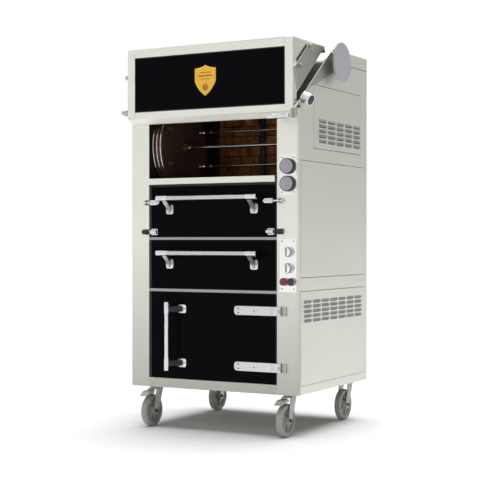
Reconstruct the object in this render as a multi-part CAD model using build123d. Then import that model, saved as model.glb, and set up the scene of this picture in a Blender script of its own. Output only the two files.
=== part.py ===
from build123d import *
import math
import os

os.makedirs("parts", exist_ok=True)

# Rotisserie oven on casters: a lift-up visor hood over a spit chamber, a drop-down
# oven door, a pull-out drawer and a cupboard.
#
# Millimetres. +Z is up, -Y is the front and +X is the right-hand side as seen from the front.
# Shapes are drawn with x = 0 on the cabinet's centre plane, y = 0 on its front plane and z = 0 on
# the floor. ORIGIN_X and ORIGIN_Y then move the origin to the middle of the whole object's base.

# ---------------------------------------------------------------- overall sizes
CABINET_WIDTH = 936.0
CABINET_DEPTH = 830.0
TOTAL_HEIGHT = 1900.0
SHEET = 2.0
PLATE = 3.0

# ---------------------------------------------------------------- bays, from the floor up
FLOOR_CLEARANCE = 206.0
BASE_HEIGHT = 47.0
CUPBOARD_HEIGHT = 433.0
LOWER_RAIL = 15.0
DRAWER_HEIGHT = 243.0
UPPER_RAIL = 14.0
OVEN_HEIGHT = 253.0
SILL_GAP = 10.0
SILL_HEIGHT = 31.0
MOUTH_HEIGHT = 274.0
HEADER_HEIGHT = 45.0

BASE_TOP = FLOOR_CLEARANCE + BASE_HEIGHT
CUPBOARD_TOP = BASE_TOP + CUPBOARD_HEIGHT
DRAWER_BOTTOM = CUPBOARD_TOP + LOWER_RAIL
DRAWER_TOP = DRAWER_BOTTOM + DRAWER_HEIGHT
OVEN_BOTTOM = DRAWER_TOP + UPPER_RAIL
OVEN_TOP = OVEN_BOTTOM + OVEN_HEIGHT
SILL_BOTTOM = OVEN_TOP + SILL_GAP
SILL_TOP = SILL_BOTTOM + SILL_HEIGHT
MOUTH_TOP = SILL_TOP + MOUTH_HEIGHT
HEADER_TOP = MOUTH_TOP + HEADER_HEIGHT

# ---------------------------------------------------------------- front frame
LEFT_STILE = 102.0
RIGHT_STILE = 110.0
STILE_WRAP = 30.0
RAIL_DEPTH = 8.0
LEFT_JAMB = 14.0
RIGHT_JAMB = 8.0
DOOR_GAP = 2.0
DOOR_PROUD = 3.0
DOOR_THICKNESS = 24.0
SILL_PROUD = 12.0
SILL_DEPTH = 30.0
SILL_END_GAP = 6.0

HALF = CABINET_WIDTH / 2
OPEN_LEFT = -HALF + LEFT_STILE
OPEN_RIGHT = HALF - RIGHT_STILE
BAY_LEFT = OPEN_LEFT + LEFT_JAMB
BAY_RIGHT = OPEN_RIGHT - RIGHT_JAMB
BAY_CENTRE = (BAY_LEFT + BAY_RIGHT) / 2
DOOR_LEFT = BAY_LEFT + DOOR_GAP
DOOR_RIGHT = BAY_RIGHT - DOOR_GAP
PLUG_INSET = 8.0

# ---------------------------------------------------------------- cabinet sides, back and roof
ROOF_FRONT = 400.0
ROOF_LIP = 64.0
BROW_DEPTH = 100.0
PANEL_GAP = 2.5
PANEL_FRONT = 32.0
PANEL_REAR = 792.0
BASE_BAND = 41.0
SIDE_BAND = 63.0
LOWER_PANEL_TOP = CUPBOARD_TOP + 13.0
MIDDLE_PANEL_TOP = SILL_TOP + 73.0
UPPER_PANEL_HEIGHT = 312.0
UPPER_PANEL_Y = (179.0, 753.0)
UPPER_LOUVRES_Y = (225.0, 747.0)
UPPER_LOUVRE_RISE = 27.0
UPPER_LOUVRE_HEIGHT = 124.0
UPPER_LOUVRES = (5, 5)
LOWER_LOUVRES_Y = (57.0, 760.0)
LOWER_LOUVRE_DROP = 41.0
LOWER_LOUVRE_HEIGHT = 114.0
LOWER_LOUVRES = (7, 5)
LOUVRE_SLOT = 7.0
LOUVRE_FILL = 0.78
FLUE_RADIUS = 75.0
FLUE_WALL = 2.0
FLUE_HEIGHT = 45.0
FLUE_Y = 590.0

MOUTH_SLOPE = math.degrees(math.atan2(TOTAL_HEIGHT - HEADER_TOP, ROOF_FRONT))
LIP_FRONT = ROOF_FRONT - ROOF_LIP / math.tan(math.radians(MOUTH_SLOPE))
BACK_Y = CABINET_DEPTH - SHEET

# ---------------------------------------------------------------- spit chamber
SIDE_SPACE = 80.0
CHAMBER_DROP = 36.0
CHAMBER_REAR = 742.0
ROTOR_Y = 285.0
ROTOR_RADIUS = 228.0
ROTOR_WALL = 3.0
ROTOR_RIM = 56.0
ROTOR_CLEARANCE = 12.0
SPIT_CIRCLE = 180.0
SPIT_COUNT = 6
SPIT_RADIUS = 6.0
PEG_RADIUS = 9.0
PEG_LENGTH = 26.0
CUP_WALL = 4.0
CUP_FLOOR = 6.0
ROTOR_HUB_RADIUS = 21.0
SHAFT_RADIUS = 9.0
RUNNING_FIT = 0.35
BEARING_RADIUS = 30.0
BEARING_LENGTH = 14.0
GEARBOX_CLEARANCE = 8.0
BRICK_DEPTH = 36.0
POST_WIDTH = 30.0
POST_DEPTH = 20.0
POST_SPREAD = 84.0
BURNER_RADIUS = 19.0

CHAMBER_HALF = HALF - SIDE_SPACE
CHAMBER_FLOOR = SILL_BOTTOM - CHAMBER_DROP
ROTOR_Z = CHAMBER_FLOOR + ROTOR_CLEARANCE + ROTOR_RADIUS
ROTOR_OUTER = CHAMBER_HALF - PLATE
DISC_FACE = ROTOR_OUTER - ROTOR_RIM
BRICK_FRONT = CHAMBER_REAR - BRICK_DEPTH

# ---------------------------------------------------------------- oven and drawer
OVEN_DEPTH = 640.0
OVEN_CEILING_GAP = 12.0
RACK_BAR = 4.0
RACK_BARS = 15
RACK_HEIGHT = 70.0
RUNNER_WIDTH = 14.0
RUNNER_HEIGHT = 30.0
RUNNER_RISE = 40.0
DRAWER_DEPTH = 560.0
DRAWER_WALL_HEIGHT = 170.0
TRAY_RISE = 12.0

# ---------------------------------------------------------------- handles and door fittings
TUBE_RADIUS = 11.0
SLEEVE_RADIUS = 13.0
SLEEVE_LENGTH = 60.0
STANDOFF = 60.0
HANDLE_LENGTH = 562.0
HANDLE_SPREAD = 477.0
BRACKET_PLATE = (42.0, 48.0)
BRACKET_DROP = 54.0
BRACKET_ARM = 26.0
OVEN_HANDLE_DROP = 61.0
DRAWER_HANDLE_DROP = 65.0
CUPBOARD_HANDLE = 340.0
CUPBOARD_SPREAD = 268.0
CUPBOARD_HANDLE_INSET = 128.0
PIN_RADIUS = 5.0
BARREL_RADIUS = 10.0
DOOR_PIN_RISE = 26.0
DOOR_PIN_PROUD = 14.0
DOOR_BARREL = 40.0
LATCH_DROP = 80.0
LATCH_BODY = (45.0, 20.0, 26.0)
LATCH_REACH = 48.0
KEEPER_WIDTH = 12.0
STRAP_LENGTH = 250.0
STRAP_HEIGHT = 44.0
STRAP_Z = (BASE_TOP + 80.0, CUPBOARD_TOP - 83.0)
HINGE_X = HALF - 90.0
HINGE_PROUD = 12.0
KNUCKLE_RADIUS = 8.0
HINGE_PIN = 4.0

# ---------------------------------------------------------------- controls
CONTROL_X = HALF - 50.0
DIAL_RADIUS = 37.0
DIAL_DEPTH = 18.0
KNOB_RADIUS = 25.0
KNOB_DEPTH = 24.0
BUTTON_RADIUS = 15.5
BUTTON_HEAD = 19.5
BUTTON_BEZEL = 20.0
BUTTON_TRAVEL = 5.0
BUTTON_X = (CONTROL_X - 19.5, CONTROL_X + 19.5)
UPPER_CONTROL = (OVEN_TOP - 54.0, OVEN_TOP + 144.0)
LOWER_CONTROL = (CUPBOARD_TOP + 10.0, CUPBOARD_TOP + 264.0)
DIAL_Z = (UPPER_CONTROL[0] + 54.0, UPPER_CONTROL[0] + 137.0)
KNOB_Z = (LOWER_CONTROL[0] + 113.0, LOWER_CONTROL[0] + 191.0)
BUTTON_Z = LOWER_CONTROL[0] + 49.0
CONTROL_WIDTH = 88.0
SCREW_RADIUS = 5.0
CONTROL_PLATE_GAP = 1.0

# ---------------------------------------------------------------- visor and lift arms
VISOR_PROUD = 44.0
VISOR_INSET = 3.0
VISOR_BOTTOM = MOUTH_TOP + 24.0
VISOR_TOP_DEPTH = 310.0
VISOR_FRAME = 42.0
LIP_RISE = 22.0
FLANGE_LENGTH = 32.0
MOUTH_GAP = 4.0
GLASS_THICKNESS = 5.0
BADGE_WIDTH = 118.0
BADGE_HEIGHT = 150.0
BADGE_X = -11.0
BRACE_WIDTH = 112.0
BRACE_THICKNESS = 6.0
PIVOT_Y = 395.0
PIVOT_DROP = 74.0
TIE_Y = -19.0
TIE_RISE = 39.0
ARM_THICKNESS = 8.0
ARM_GAP = 8.0
ARM_BAR = 12.0
ARM_TOP = 74.0
ARM_TAIL = 28.0
LEVER_TAIL = 58.0
WEIGHT_PLACE = 50.0
WEIGHT_DROP = 15.0
HUB_RADIUS = 60.0
PIVOT_RADIUS = 15.0
DISC_RADIUS = 100.0
DISC_THICKNESS = 12.0
DISC_STANDOFF = 46.0
WEIGHT_RADIUS = 30.0
WEIGHT_LENGTH = 46.0
STUD_RADIUS = 12.0
STUD_LENGTH = 44.0
GRIP_RADIUS = 14.0
GRIP_LENGTH = 124.0
GRIP_Y = -85.0
GRIP_Z = VISOR_BOTTOM - 25.0

PIVOT_Z = TOTAL_HEIGHT - PIVOT_DROP
TIE_Z = VISOR_BOTTOM + TIE_RISE
TIE_OFFSET = ARM_TOP - ARM_BAR / 2
TIE_DISTANCE = math.hypot(PIVOT_Y - TIE_Y, PIVOT_Z - TIE_Z)
TIE_ALONG = math.sqrt(TIE_DISTANCE**2 - TIE_OFFSET**2)
ARM_ANGLE = math.degrees(
    math.atan2(PIVOT_Z - TIE_Z, PIVOT_Y - TIE_Y) + math.asin(TIE_OFFSET / TIE_DISTANCE)
)
ARM_INNER = HALF + ARM_GAP
ARM_OUTER = ARM_INNER + ARM_THICKNESS
DISC_INNER = HALF + DISC_STANDOFF

# ---------------------------------------------------------------- casters
WHEEL_RADIUS = 80.0
TREAD_WIDTH = 34.0
HUB_WIDTH = 40.0
WHEEL_HUB_RADIUS = 24.0
AXLE_RADIUS = 6.0
CASTER_X = HALF - 88.0
FRONT_CASTER_Y = 93.0
REAR_CASTER_Y = 765.0
CASTER_TRAIL = 45.0
FORK_THICKNESS = 4.0
FORK_GAP = 2.0
FORK_CROWN_HEIGHT = 12.0
CASTER_PLATE = (100.0, 85.0, 5.0)
SWIVEL_RADIUS = 26.0

# ---------------------------------------------------------------- origin
FRONT_EXTENT = -(GRIP_Y - GRIP_RADIUS)
RIGHT_EXTENT = ARM_OUTER + WEIGHT_LENGTH
LEFT_EXTENT = ARM_OUTER + STUD_LENGTH - ARM_GAP - ARM_THICKNESS
ORIGIN_X = (RIGHT_EXTENT - LEFT_EXTENT) / 2
ORIGIN_Y = (CABINET_DEPTH - FRONT_EXTENT) / 2


# ---------------------------------------------------------------- drawing helpers
def block(x, y, z):
    """A box between two limits on each axis."""
    size = [abs(limits[1] - limits[0]) for limits in (x, y, z)]
    middle = [(limits[0] + limits[1]) / 2 for limits in (x, y, z)]
    return Pos(*middle) * Box(*size)


def rounded_block(x, y, z, radius, along):
    """A box with its four edges along one axis rounded."""
    solid = block(x, y, z)
    return fillet(solid.edges().filter_by(along), radius)


def rod_x(x, y, z, radius):
    return Pos((x[0] + x[1]) / 2, y, z) * Rot(0, 90, 0) * Cylinder(radius, abs(x[1] - x[0]))


def rod_y(x, y, z, radius):
    return Pos(x, (y[0] + y[1]) / 2, z) * Rot(90, 0, 0) * Cylinder(radius, abs(y[1] - y[0]))


def rod_z(x, y, z, radius):
    return Pos(x, y, (z[0] + z[1]) / 2) * Cylinder(radius, abs(z[1] - z[0]))


def side_plate(points, x):
    """A plate of constant thickness across X, from its outline in (y, z)."""
    face = make_face(Polyline(*[(0, y, z) for y, z in points], close=True))
    solid = extrude(face, amount=abs(x[1] - x[0]), dir=(1, 0, 0))
    return Pos(min(x), 0, 0) * solid


def mirrored(solid):
    """The same solid on the other side of the cabinet's centre plane."""
    return mirror(solid, about=Plane.YZ)


def mouth_line(y, offset=0.0):
    """Height of the chamber's sloping mouth at a depth, raised by a distance square to it."""
    slope = math.radians(MOUTH_SLOPE)
    return TOTAL_HEIGHT - (ROOF_FRONT - y) * math.tan(slope) + offset / math.cos(slope)


def save(name, *solids):
    """Write one node, moved to the object's origin."""
    placed = [Pos(-ORIGIN_X, -ORIGIN_Y, 0) * solid for solid in solids]
    shape = placed[0] if len(placed) == 1 else Compound(children=placed)
    shape.label = name
    export_step(shape, f"parts/{name}.step")


# ---------------------------------------------------------------- cabinet
def base_pan():
    x = (-HALF + SHEET, HALF - SHEET)
    y = (SHEET, BACK_Y)
    z = (FLOOR_CLEARANCE, BASE_TOP - SHEET)
    floor = block(x, y, (z[0], z[0] + PLATE))
    front = block(x, (y[0], y[0] + PLATE), (z[0] + PLATE, z[1]))
    rear = block(x, (y[1] - PLATE, y[1]), (z[0] + PLATE, z[1]))
    inner_y = (y[0] + PLATE, y[1] - PLATE)
    left = block((x[0], x[0] + PLATE), inner_y, (z[0] + PLATE, z[1]))
    right = block((x[1] - PLATE, x[1]), inner_y, (z[0] + PLATE, z[1]))
    deck = block(x, y, (z[1], BASE_TOP))
    save("base_pan", floor, front, rear, left, right, deck)


def front_stiles():
    """Two folded uprights: a face, a return along the cabinet's side and a return into the bay."""
    z = (FLOOR_CLEARANCE, HEADER_TOP)
    solids = []
    for outer, inner in ((-HALF, OPEN_LEFT), (HALF, OPEN_RIGHT)):
        side = 1 if outer < 0 else -1
        solids.append(block((outer, inner), (0, SHEET), z))
        solids.append(block((outer, outer + side * SHEET), (SHEET, STILE_WRAP), z))
    save("front_stiles", *solids)


def front_rails():
    x = (OPEN_LEFT, OPEN_RIGHT)
    bottom = block(x, (0, SHEET), (FLOOR_CLEARANCE, BASE_TOP))
    lower = block(x, (0, RAIL_DEPTH), (CUPBOARD_TOP, DRAWER_BOTTOM))
    upper = block(x, (0, RAIL_DEPTH), (DRAWER_TOP, OVEN_BOTTOM))
    header = block(x, (0, SHEET), (MOUTH_TOP, HEADER_TOP))
    sill_x = (OPEN_LEFT + SHEET, OPEN_RIGHT - SILL_END_GAP)
    sill = block(sill_x, (-SILL_PROUD, SILL_DEPTH), (SILL_BOTTOM, SILL_TOP))
    sill = fillet(sill.edges().filter_by(Axis.X).group_by(Axis.Y)[0], 3.0)
    save("front_rails", bottom, lower, upper, header, sill)


def inner_frame():
    """Black jambs behind the stiles and the dark strip under the sill."""
    solids = []
    for z in ((BASE_TOP, CUPBOARD_TOP), (DRAWER_BOTTOM, DRAWER_TOP), (OVEN_BOTTOM, OVEN_TOP)):
        solids.append(block((OPEN_LEFT, BAY_LEFT), (SHEET, RAIL_DEPTH), z))
        solids.append(block((BAY_RIGHT, OPEN_RIGHT), (SHEET, RAIL_DEPTH), z))
    solids.append(block((OPEN_LEFT, OPEN_RIGHT), (SHEET, RAIL_DEPTH), (OVEN_TOP, SILL_BOTTOM)))
    save("inner_frame", *solids)


def side_outline():
    """Outline of a cabinet side in (y, z), with the corner cut along the mouth's slope."""
    lip = TOTAL_HEIGHT - ROOF_LIP
    return [
        (STILE_WRAP, FLOOR_CLEARANCE),
        (BACK_Y, FLOOR_CLEARANCE),
        (BACK_Y, lip),
        (LIP_FRONT, lip),
        (STILE_WRAP, mouth_line(STILE_WRAP)),
    ]


def side_windows():
    """The three openings in the right side, as (y limits, z limits)."""
    wide = (PANEL_FRONT, PANEL_REAR)
    upper_bottom = MIDDLE_PANEL_TOP + SIDE_BAND
    lower = (wide, (FLOOR_CLEARANCE + BASE_BAND, LOWER_PANEL_TOP))
    middle = (wide, (LOWER_PANEL_TOP + SIDE_BAND, MIDDLE_PANEL_TOP))
    upper = (UPPER_PANEL_Y, (upper_bottom, upper_bottom + UPPER_PANEL_HEIGHT))
    return lower, middle, upper


def side_panels():
    save("left_side_panel", side_plate(side_outline(), (-HALF, -HALF + SHEET)))
    frame = side_plate(side_outline(), (HALF - SHEET, HALF))
    for y, z in side_windows():
        frame -= block((HALF - 2 * SHEET, HALF + SHEET), y, z)
    save("right_side_frame", frame)


def louvre_slots(y, z, grid):
    """Horizontal slots in columns and rows that fill an area of the right side."""
    columns, rows = grid
    pitch_y = (y[1] - y[0]) / columns
    pitch_z = (z[1] - z[0]) / rows
    slots = []
    for column in range(columns):
        for row in range(rows):
            middle_y = y[0] + pitch_y * (column + 0.5)
            middle_z = z[0] + pitch_z * (row + 0.5)
            half = pitch_y * LOUVRE_FILL / 2
            span_z = (middle_z - LOUVRE_SLOT / 2, middle_z + LOUVRE_SLOT / 2)
            slots.append(block((HALF - 9, HALF + 9), (middle_y - half, middle_y + half), span_z))
    return slots


def right_access_panels():
    lower, middle, upper = [
        block(
            (HALF - SHEET, HALF),
            (y[0] + PANEL_GAP, y[1] - PANEL_GAP),
            (z[0] + PANEL_GAP, z[1] - PANEL_GAP),
        )
        for y, z in side_windows()
    ]
    upper_low = MIDDLE_PANEL_TOP + SIDE_BAND + UPPER_LOUVRE_RISE
    upper -= louvre_slots(UPPER_LOUVRES_Y, (upper_low, upper_low + UPPER_LOUVRE_HEIGHT), UPPER_LOUVRES)
    lower_high = LOWER_PANEL_TOP - LOWER_LOUVRE_DROP
    lower -= louvre_slots(LOWER_LOUVRES_Y, (lower_high - LOWER_LOUVRE_HEIGHT, lower_high), LOWER_LOUVRES)
    save("right_access_panels", lower, middle, upper)


def back_panel():
    x = (-HALF, HALF)
    save("back_panel", block(x, (BACK_Y, CABINET_DEPTH), (FLOOR_CLEARANCE, TOTAL_HEIGHT)))


def roof_panel():
    """Roof cap with a lip down each side, cut along the mouth's slope, and a flue hole."""
    top_z = (TOTAL_HEIGHT - SHEET, TOTAL_HEIGHT)
    top = block((-HALF, HALF), (ROOF_FRONT, BACK_Y), top_z)
    top -= rod_z(0, FLUE_Y, (top_z[0] - 9, top_z[1] + 9), FLUE_RADIUS - FLUE_WALL)
    outline = [
        (LIP_FRONT, TOTAL_HEIGHT - ROOF_LIP),
        (BACK_Y, TOTAL_HEIGHT - ROOF_LIP),
        (BACK_Y, top_z[0]),
        (ROOF_FRONT, top_z[0]),
    ]
    right = side_plate(outline, (HALF - SHEET, HALF))
    brow_y = ROOF_FRONT - BROW_DEPTH
    brow_outline = [
        (brow_y, mouth_line(brow_y)),
        (ROOF_FRONT, mouth_line(ROOF_FRONT)),
        (ROOF_FRONT, mouth_line(ROOF_FRONT, -SHEET)),
        (brow_y, mouth_line(brow_y, -SHEET)),
    ]
    brow = side_plate(brow_outline, (-HALF + SHEET, HALF - SHEET))
    z = (TOTAL_HEIGHT, TOTAL_HEIGHT + FLUE_HEIGHT)
    collar = rod_z(0, FLUE_Y, z, FLUE_RADIUS)
    collar -= rod_z(0, FLUE_Y, (z[0] - 1, z[1] + 1), FLUE_RADIUS - FLUE_WALL)
    save("roof_panel", top, mirrored(right), right, brow, collar)


def chamber_liner():
    """Flat plates round the spit chamber, open at the mouth and up the slope."""
    wall = [
        (RAIL_DEPTH, CHAMBER_FLOOR),
        (CHAMBER_REAR, CHAMBER_FLOOR),
        (CHAMBER_REAR, TOTAL_HEIGHT - SHEET),
        (ROOF_FRONT + SHEET, TOTAL_HEIGHT - SHEET),
        (ROOF_FRONT, mouth_line(ROOF_FRONT, -SHEET)),
        (RAIL_DEPTH, mouth_line(RAIL_DEPTH, -SHEET)),
    ]
    bore = rod_x((-HALF, HALF), ROTOR_Y, ROTOR_Z, SHAFT_RADIUS + 1.0)
    right = side_plate(wall, (CHAMBER_HALF, CHAMBER_HALF + SHEET)) - bore
    left = side_plate(wall, (-CHAMBER_HALF - SHEET, -CHAMBER_HALF)) - bore
    x = (-CHAMBER_HALF - SHEET, CHAMBER_HALF + SHEET)
    floor = block(x, (RAIL_DEPTH, CHAMBER_REAR), (CHAMBER_FLOOR - SHEET, CHAMBER_FLOOR))
    back_z = (CHAMBER_FLOOR - SHEET, TOTAL_HEIGHT - SHEET)
    back = block(x, (CHAMBER_REAR, CHAMBER_REAR + SHEET), back_z)
    trim = mouth_trim()
    save("chamber_liner", left, right, floor, back, mirrored(trim), trim)


def mouth_trim():
    """Sloping cover strip between the chamber's right wall and the cabinet's side."""
    outline = [
        (STILE_WRAP, mouth_line(STILE_WRAP, -SHEET)),
        (ROOF_FRONT, mouth_line(ROOF_FRONT, -SHEET)),
        (ROOF_FRONT, mouth_line(ROOF_FRONT, -2 * SHEET)),
        (STILE_WRAP, mouth_line(STILE_WRAP, -2 * SHEET)),
    ]
    return side_plate(outline, (CHAMBER_HALF + SHEET, HALF - SHEET))


def firebrick():
    """Three brick panels on the chamber's rear wall, held by four steel posts."""
    z = (CHAMBER_FLOOR, TOTAL_HEIGHT - ROOF_LIP)
    edge = CHAMBER_HALF - POST_WIDTH / 2
    posts = (-edge, -POST_SPREAD, POST_SPREAD, edge)
    bricks = []
    for left, right in zip(posts, posts[1:]):
        bricks.append(block((left, right), (BRICK_FRONT, CHAMBER_REAR), z))
    half = POST_WIDTH / 2
    y = (BRICK_FRONT - POST_DEPTH, BRICK_FRONT)
    save("firebrick_wall", *bricks, *[block((x - half, x + half), y, z) for x in posts])


def burner_pipe():
    """Gas burner tube along the foot of the brick wall, with its two end brackets."""
    y = BRICK_FRONT - POST_DEPTH - BURNER_RADIUS - 12
    z = CHAMBER_FLOOR + BURNER_RADIUS + 16
    x = CHAMBER_HALF - 30
    pipe = rod_x((-x, x), y, z, BURNER_RADIUS) - rod_x((-x - 1, x + 1), y, z, BURNER_RADIUS - 2)
    save("burner_pipe", pipe, *[
        block((side * x - 3, side * x + 3), (y - 24, y + 24), (CHAMBER_FLOOR, z - BURNER_RADIUS))
        for side in (-0.9, 0.9)
    ])


def rotor():
    """Two drum-shaped spit plates with driving pegs, on one shaft."""
    shaft_bore = rod_x((-HALF, HALF), ROTOR_Y, ROTOR_Z, SHAFT_RADIUS)
    disc_x = (DISC_FACE, DISC_FACE + ROTOR_WALL)
    drum = rod_x(disc_x, ROTOR_Y, ROTOR_Z, ROTOR_RADIUS) - shaft_bore
    rim_x = (disc_x[1], ROTOR_OUTER)
    rim = rod_x(rim_x, ROTOR_Y, ROTOR_Z, ROTOR_RADIUS)
    drum += rim - rod_x(rim_x, ROTOR_Y, ROTOR_Z, ROTOR_RADIUS - ROTOR_WALL)
    peg_x = (DISC_FACE - PEG_LENGTH, DISC_FACE)
    solids = [drum, rod_x(peg_x, ROTOR_Y, ROTOR_Z, ROTOR_HUB_RADIUS) - shaft_bore]
    for index in range(SPIT_COUNT):
        solids.append(rod_x(peg_x, *peg_place(index), PEG_RADIUS))
    save("spit_plates", *[mirrored(solid) for solid in solids], *solids)
    end = CHAMBER_HALF + SHEET + BEARING_LENGTH + 6
    save("rotor_shaft", rod_x((-end, end), ROTOR_Y, ROTOR_Z, SHAFT_RADIUS))


def peg_place(index):
    """Depth and height of one of the spit plates' pegs."""
    angle = math.radians(30 + 360 / SPIT_COUNT * index)
    return ROTOR_Y + SPIT_CIRCLE * math.cos(angle), ROTOR_Z + SPIT_CIRCLE * math.sin(angle)


def spit(name, index):
    """A bar between two cups, each of which slips over a peg."""
    y, z = peg_place(index)
    cup_end = DISC_FACE - RUNNING_FIT
    cup_start = DISC_FACE - PEG_LENGTH - CUP_FLOOR
    bar = rod_x((-cup_start, cup_start), y, z, SPIT_RADIUS)
    cups = []
    for side in (-1, 1):
        cup = rod_x((side * cup_start, side * cup_end), y, z, PEG_RADIUS + CUP_WALL)
        bore_start = DISC_FACE - PEG_LENGTH - RUNNING_FIT
        bore = rod_x((side * bore_start, side * (cup_end + 1)), y, z, PEG_RADIUS + RUNNING_FIT)
        cups.append(cup - bore)
    save(name, bar, *cups)


def rotor_drive():
    """Shaft bearings outside the chamber's walls, and a worm gearbox with its motor."""
    solids = []
    inner = CHAMBER_HALF + SHEET
    outer = inner + BEARING_LENGTH
    bore = rod_x((-outer - 1, outer + 10), ROTOR_Y, ROTOR_Z, SHAFT_RADIUS + RUNNING_FIT)
    for side in (-1, 1):
        ring = rod_x((side * inner, side * outer), ROTOR_Y, ROTOR_Z, BEARING_RADIUS)
        solids.append(ring - bore)
    gearbox_x = (outer, HALF - GEARBOX_CLEARANCE)
    gearbox_y = (ROTOR_Y - 45, ROTOR_Y + 55)
    gearbox = block(gearbox_x, gearbox_y, (ROTOR_Z - 50, ROTOR_Z + 50))
    solids.append(gearbox - bore)
    motor_radius = (gearbox_x[1] - gearbox_x[0]) / 2
    motor_y = (gearbox_y[1], gearbox_y[1] + 150)
    solids.append(rod_y(gearbox_x[0] + motor_radius, motor_y, ROTOR_Z - 10, motor_radius))
    save("rotor_drive", *solids)


def oven_liner():
    x = (BAY_LEFT - SHEET, BAY_RIGHT + SHEET)
    y = (RAIL_DEPTH, OVEN_DEPTH)
    z = (OVEN_BOTTOM, CHAMBER_FLOOR - OVEN_CEILING_GAP)
    inner_z = (z[0] + SHEET, z[1] - SHEET)
    floor = block(x, y, (z[0], inner_z[0]))
    ceiling = block(x, y, (inner_z[1], z[1]))
    left = block((x[0], BAY_LEFT), y, inner_z)
    right = block((BAY_RIGHT, x[1]), y, inner_z)
    back = block(x, (y[1], y[1] + SHEET), z)
    save("oven_liner", floor, ceiling, left, right, back)


def oven_rack():
    """Wire rack: a ring of bar with cross wires, on two side ledges."""
    x = (BAY_LEFT + 10, BAY_RIGHT - 10)
    y = (DOOR_THICKNESS + 16, OVEN_DEPTH - 20)
    z = OVEN_BOTTOM + RACK_HEIGHT
    bars = []
    for side_y in y:
        bars.append(rod_x((x[0], x[1]), side_y, z, RACK_BAR))
    pitch = (x[1] - x[0]) / (RACK_BARS + 1)
    for index in range(RACK_BARS):
        wire_x = x[0] + pitch * (index + 1)
        bars.append(rod_y(wire_x, y, z + 2 * RACK_BAR, RACK_BAR))
    ledge_z = (z - RACK_BAR - 3, z - RACK_BAR)
    ledges = [block((BAY_LEFT, BAY_LEFT + 20), y, ledge_z)]
    ledges.append(block((BAY_RIGHT - 20, BAY_RIGHT), y, ledge_z))
    save("oven_rack", *bars, *ledges)


def lower_partitions():
    """Side walls of the drawer and cupboard bays, the shelf between them and the runners."""
    y = (RAIL_DEPTH, BACK_Y)
    z = (BASE_TOP, OVEN_BOTTOM)
    left = block((BAY_LEFT - SHEET, BAY_LEFT), y, z)
    right = block((BAY_RIGHT, BAY_RIGHT + SHEET), y, z)
    shelf = block((BAY_LEFT, BAY_RIGHT), y, (DRAWER_BOTTOM - SHEET, DRAWER_BOTTOM))
    runner_y = (DOOR_THICKNESS + 6, DRAWER_DEPTH)
    runner_z = (DRAWER_BOTTOM + RUNNER_RISE, DRAWER_BOTTOM + RUNNER_RISE + RUNNER_HEIGHT)
    left_runner = block((BAY_LEFT, BAY_LEFT + RUNNER_WIDTH), runner_y, runner_z)
    right_runner = block((BAY_RIGHT - RUNNER_WIDTH, BAY_RIGHT), runner_y, runner_z)
    save("lower_partitions", left, right, shelf, left_runner, right_runner)


# ---------------------------------------------------------------- doors and drawer
def door_panel(name, z, plug_z):
    """A black sheet front with an insulated box behind it that fits inside the bay."""
    skin = block((DOOR_LEFT, DOOR_RIGHT), (-DOOR_PROUD, 0), (z[0] + DOOR_GAP, z[1] - DOOR_GAP))
    plug_x = (DOOR_LEFT + PLUG_INSET, DOOR_RIGHT - PLUG_INSET)
    plug = block(plug_x, (0, DOOR_THICKNESS - DOOR_PROUD), plug_z)
    save(name, skin, plug)


def bar_handle(centre, half_length, spread):
    """Tube with end sleeves on two screwed brackets, drawn upright-on: brackets below the tube.

    Local frame: tube along X through the centre, bracket plates on the door face below it."""
    face = -DOOR_PROUD
    tube_y = face - STANDOFF
    tube = rod_x((-half_length, half_length), tube_y, 0, TUBE_RADIUS)
    sleeves = []
    for side in (-1, 1):
        x = (side * half_length, side * (half_length - SLEEVE_LENGTH))
        sleeve = rod_x(x, tube_y, 0, SLEEVE_RADIUS)
        sleeves.append(sleeve - rod_x((x[0] * 1.1, x[1] * 0.9), tube_y, 0, TUBE_RADIUS))
    brackets = []
    for x in (-spread / 2, spread / 2):
        plate = rounded_block(
            (x - BRACKET_PLATE[0] / 2, x + BRACKET_PLATE[0] / 2),
            (face - 4, face),
            (-BRACKET_DROP - BRACKET_PLATE[1] / 2, -BRACKET_DROP + BRACKET_PLATE[1] / 2),
            8.0,
            Axis.Y,
        )
        top = -BRACKET_DROP + BRACKET_PLATE[1] / 2 - 6
        outline = [(face - 4, top - 8), (face - 4, top), (tube_y, 5), (tube_y, -5)]
        arm = side_plate(outline, (x - BRACKET_ARM / 2, x + BRACKET_ARM / 2))
        clamp = rod_x((x - BRACKET_ARM / 2, x + BRACKET_ARM / 2), tube_y, 0, TUBE_RADIUS + 4)
        bracket = plate + arm + clamp - rod_x((x - 99, x + 99), tube_y, 0, TUBE_RADIUS)
        screw = rod_y(x, (face - 7, face - 4), -BRACKET_DROP - 10, SCREW_RADIUS)
        brackets.extend([bracket, screw])
    return [Pos(*centre) * solid for solid in (tube, *sleeves, *brackets)]


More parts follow.
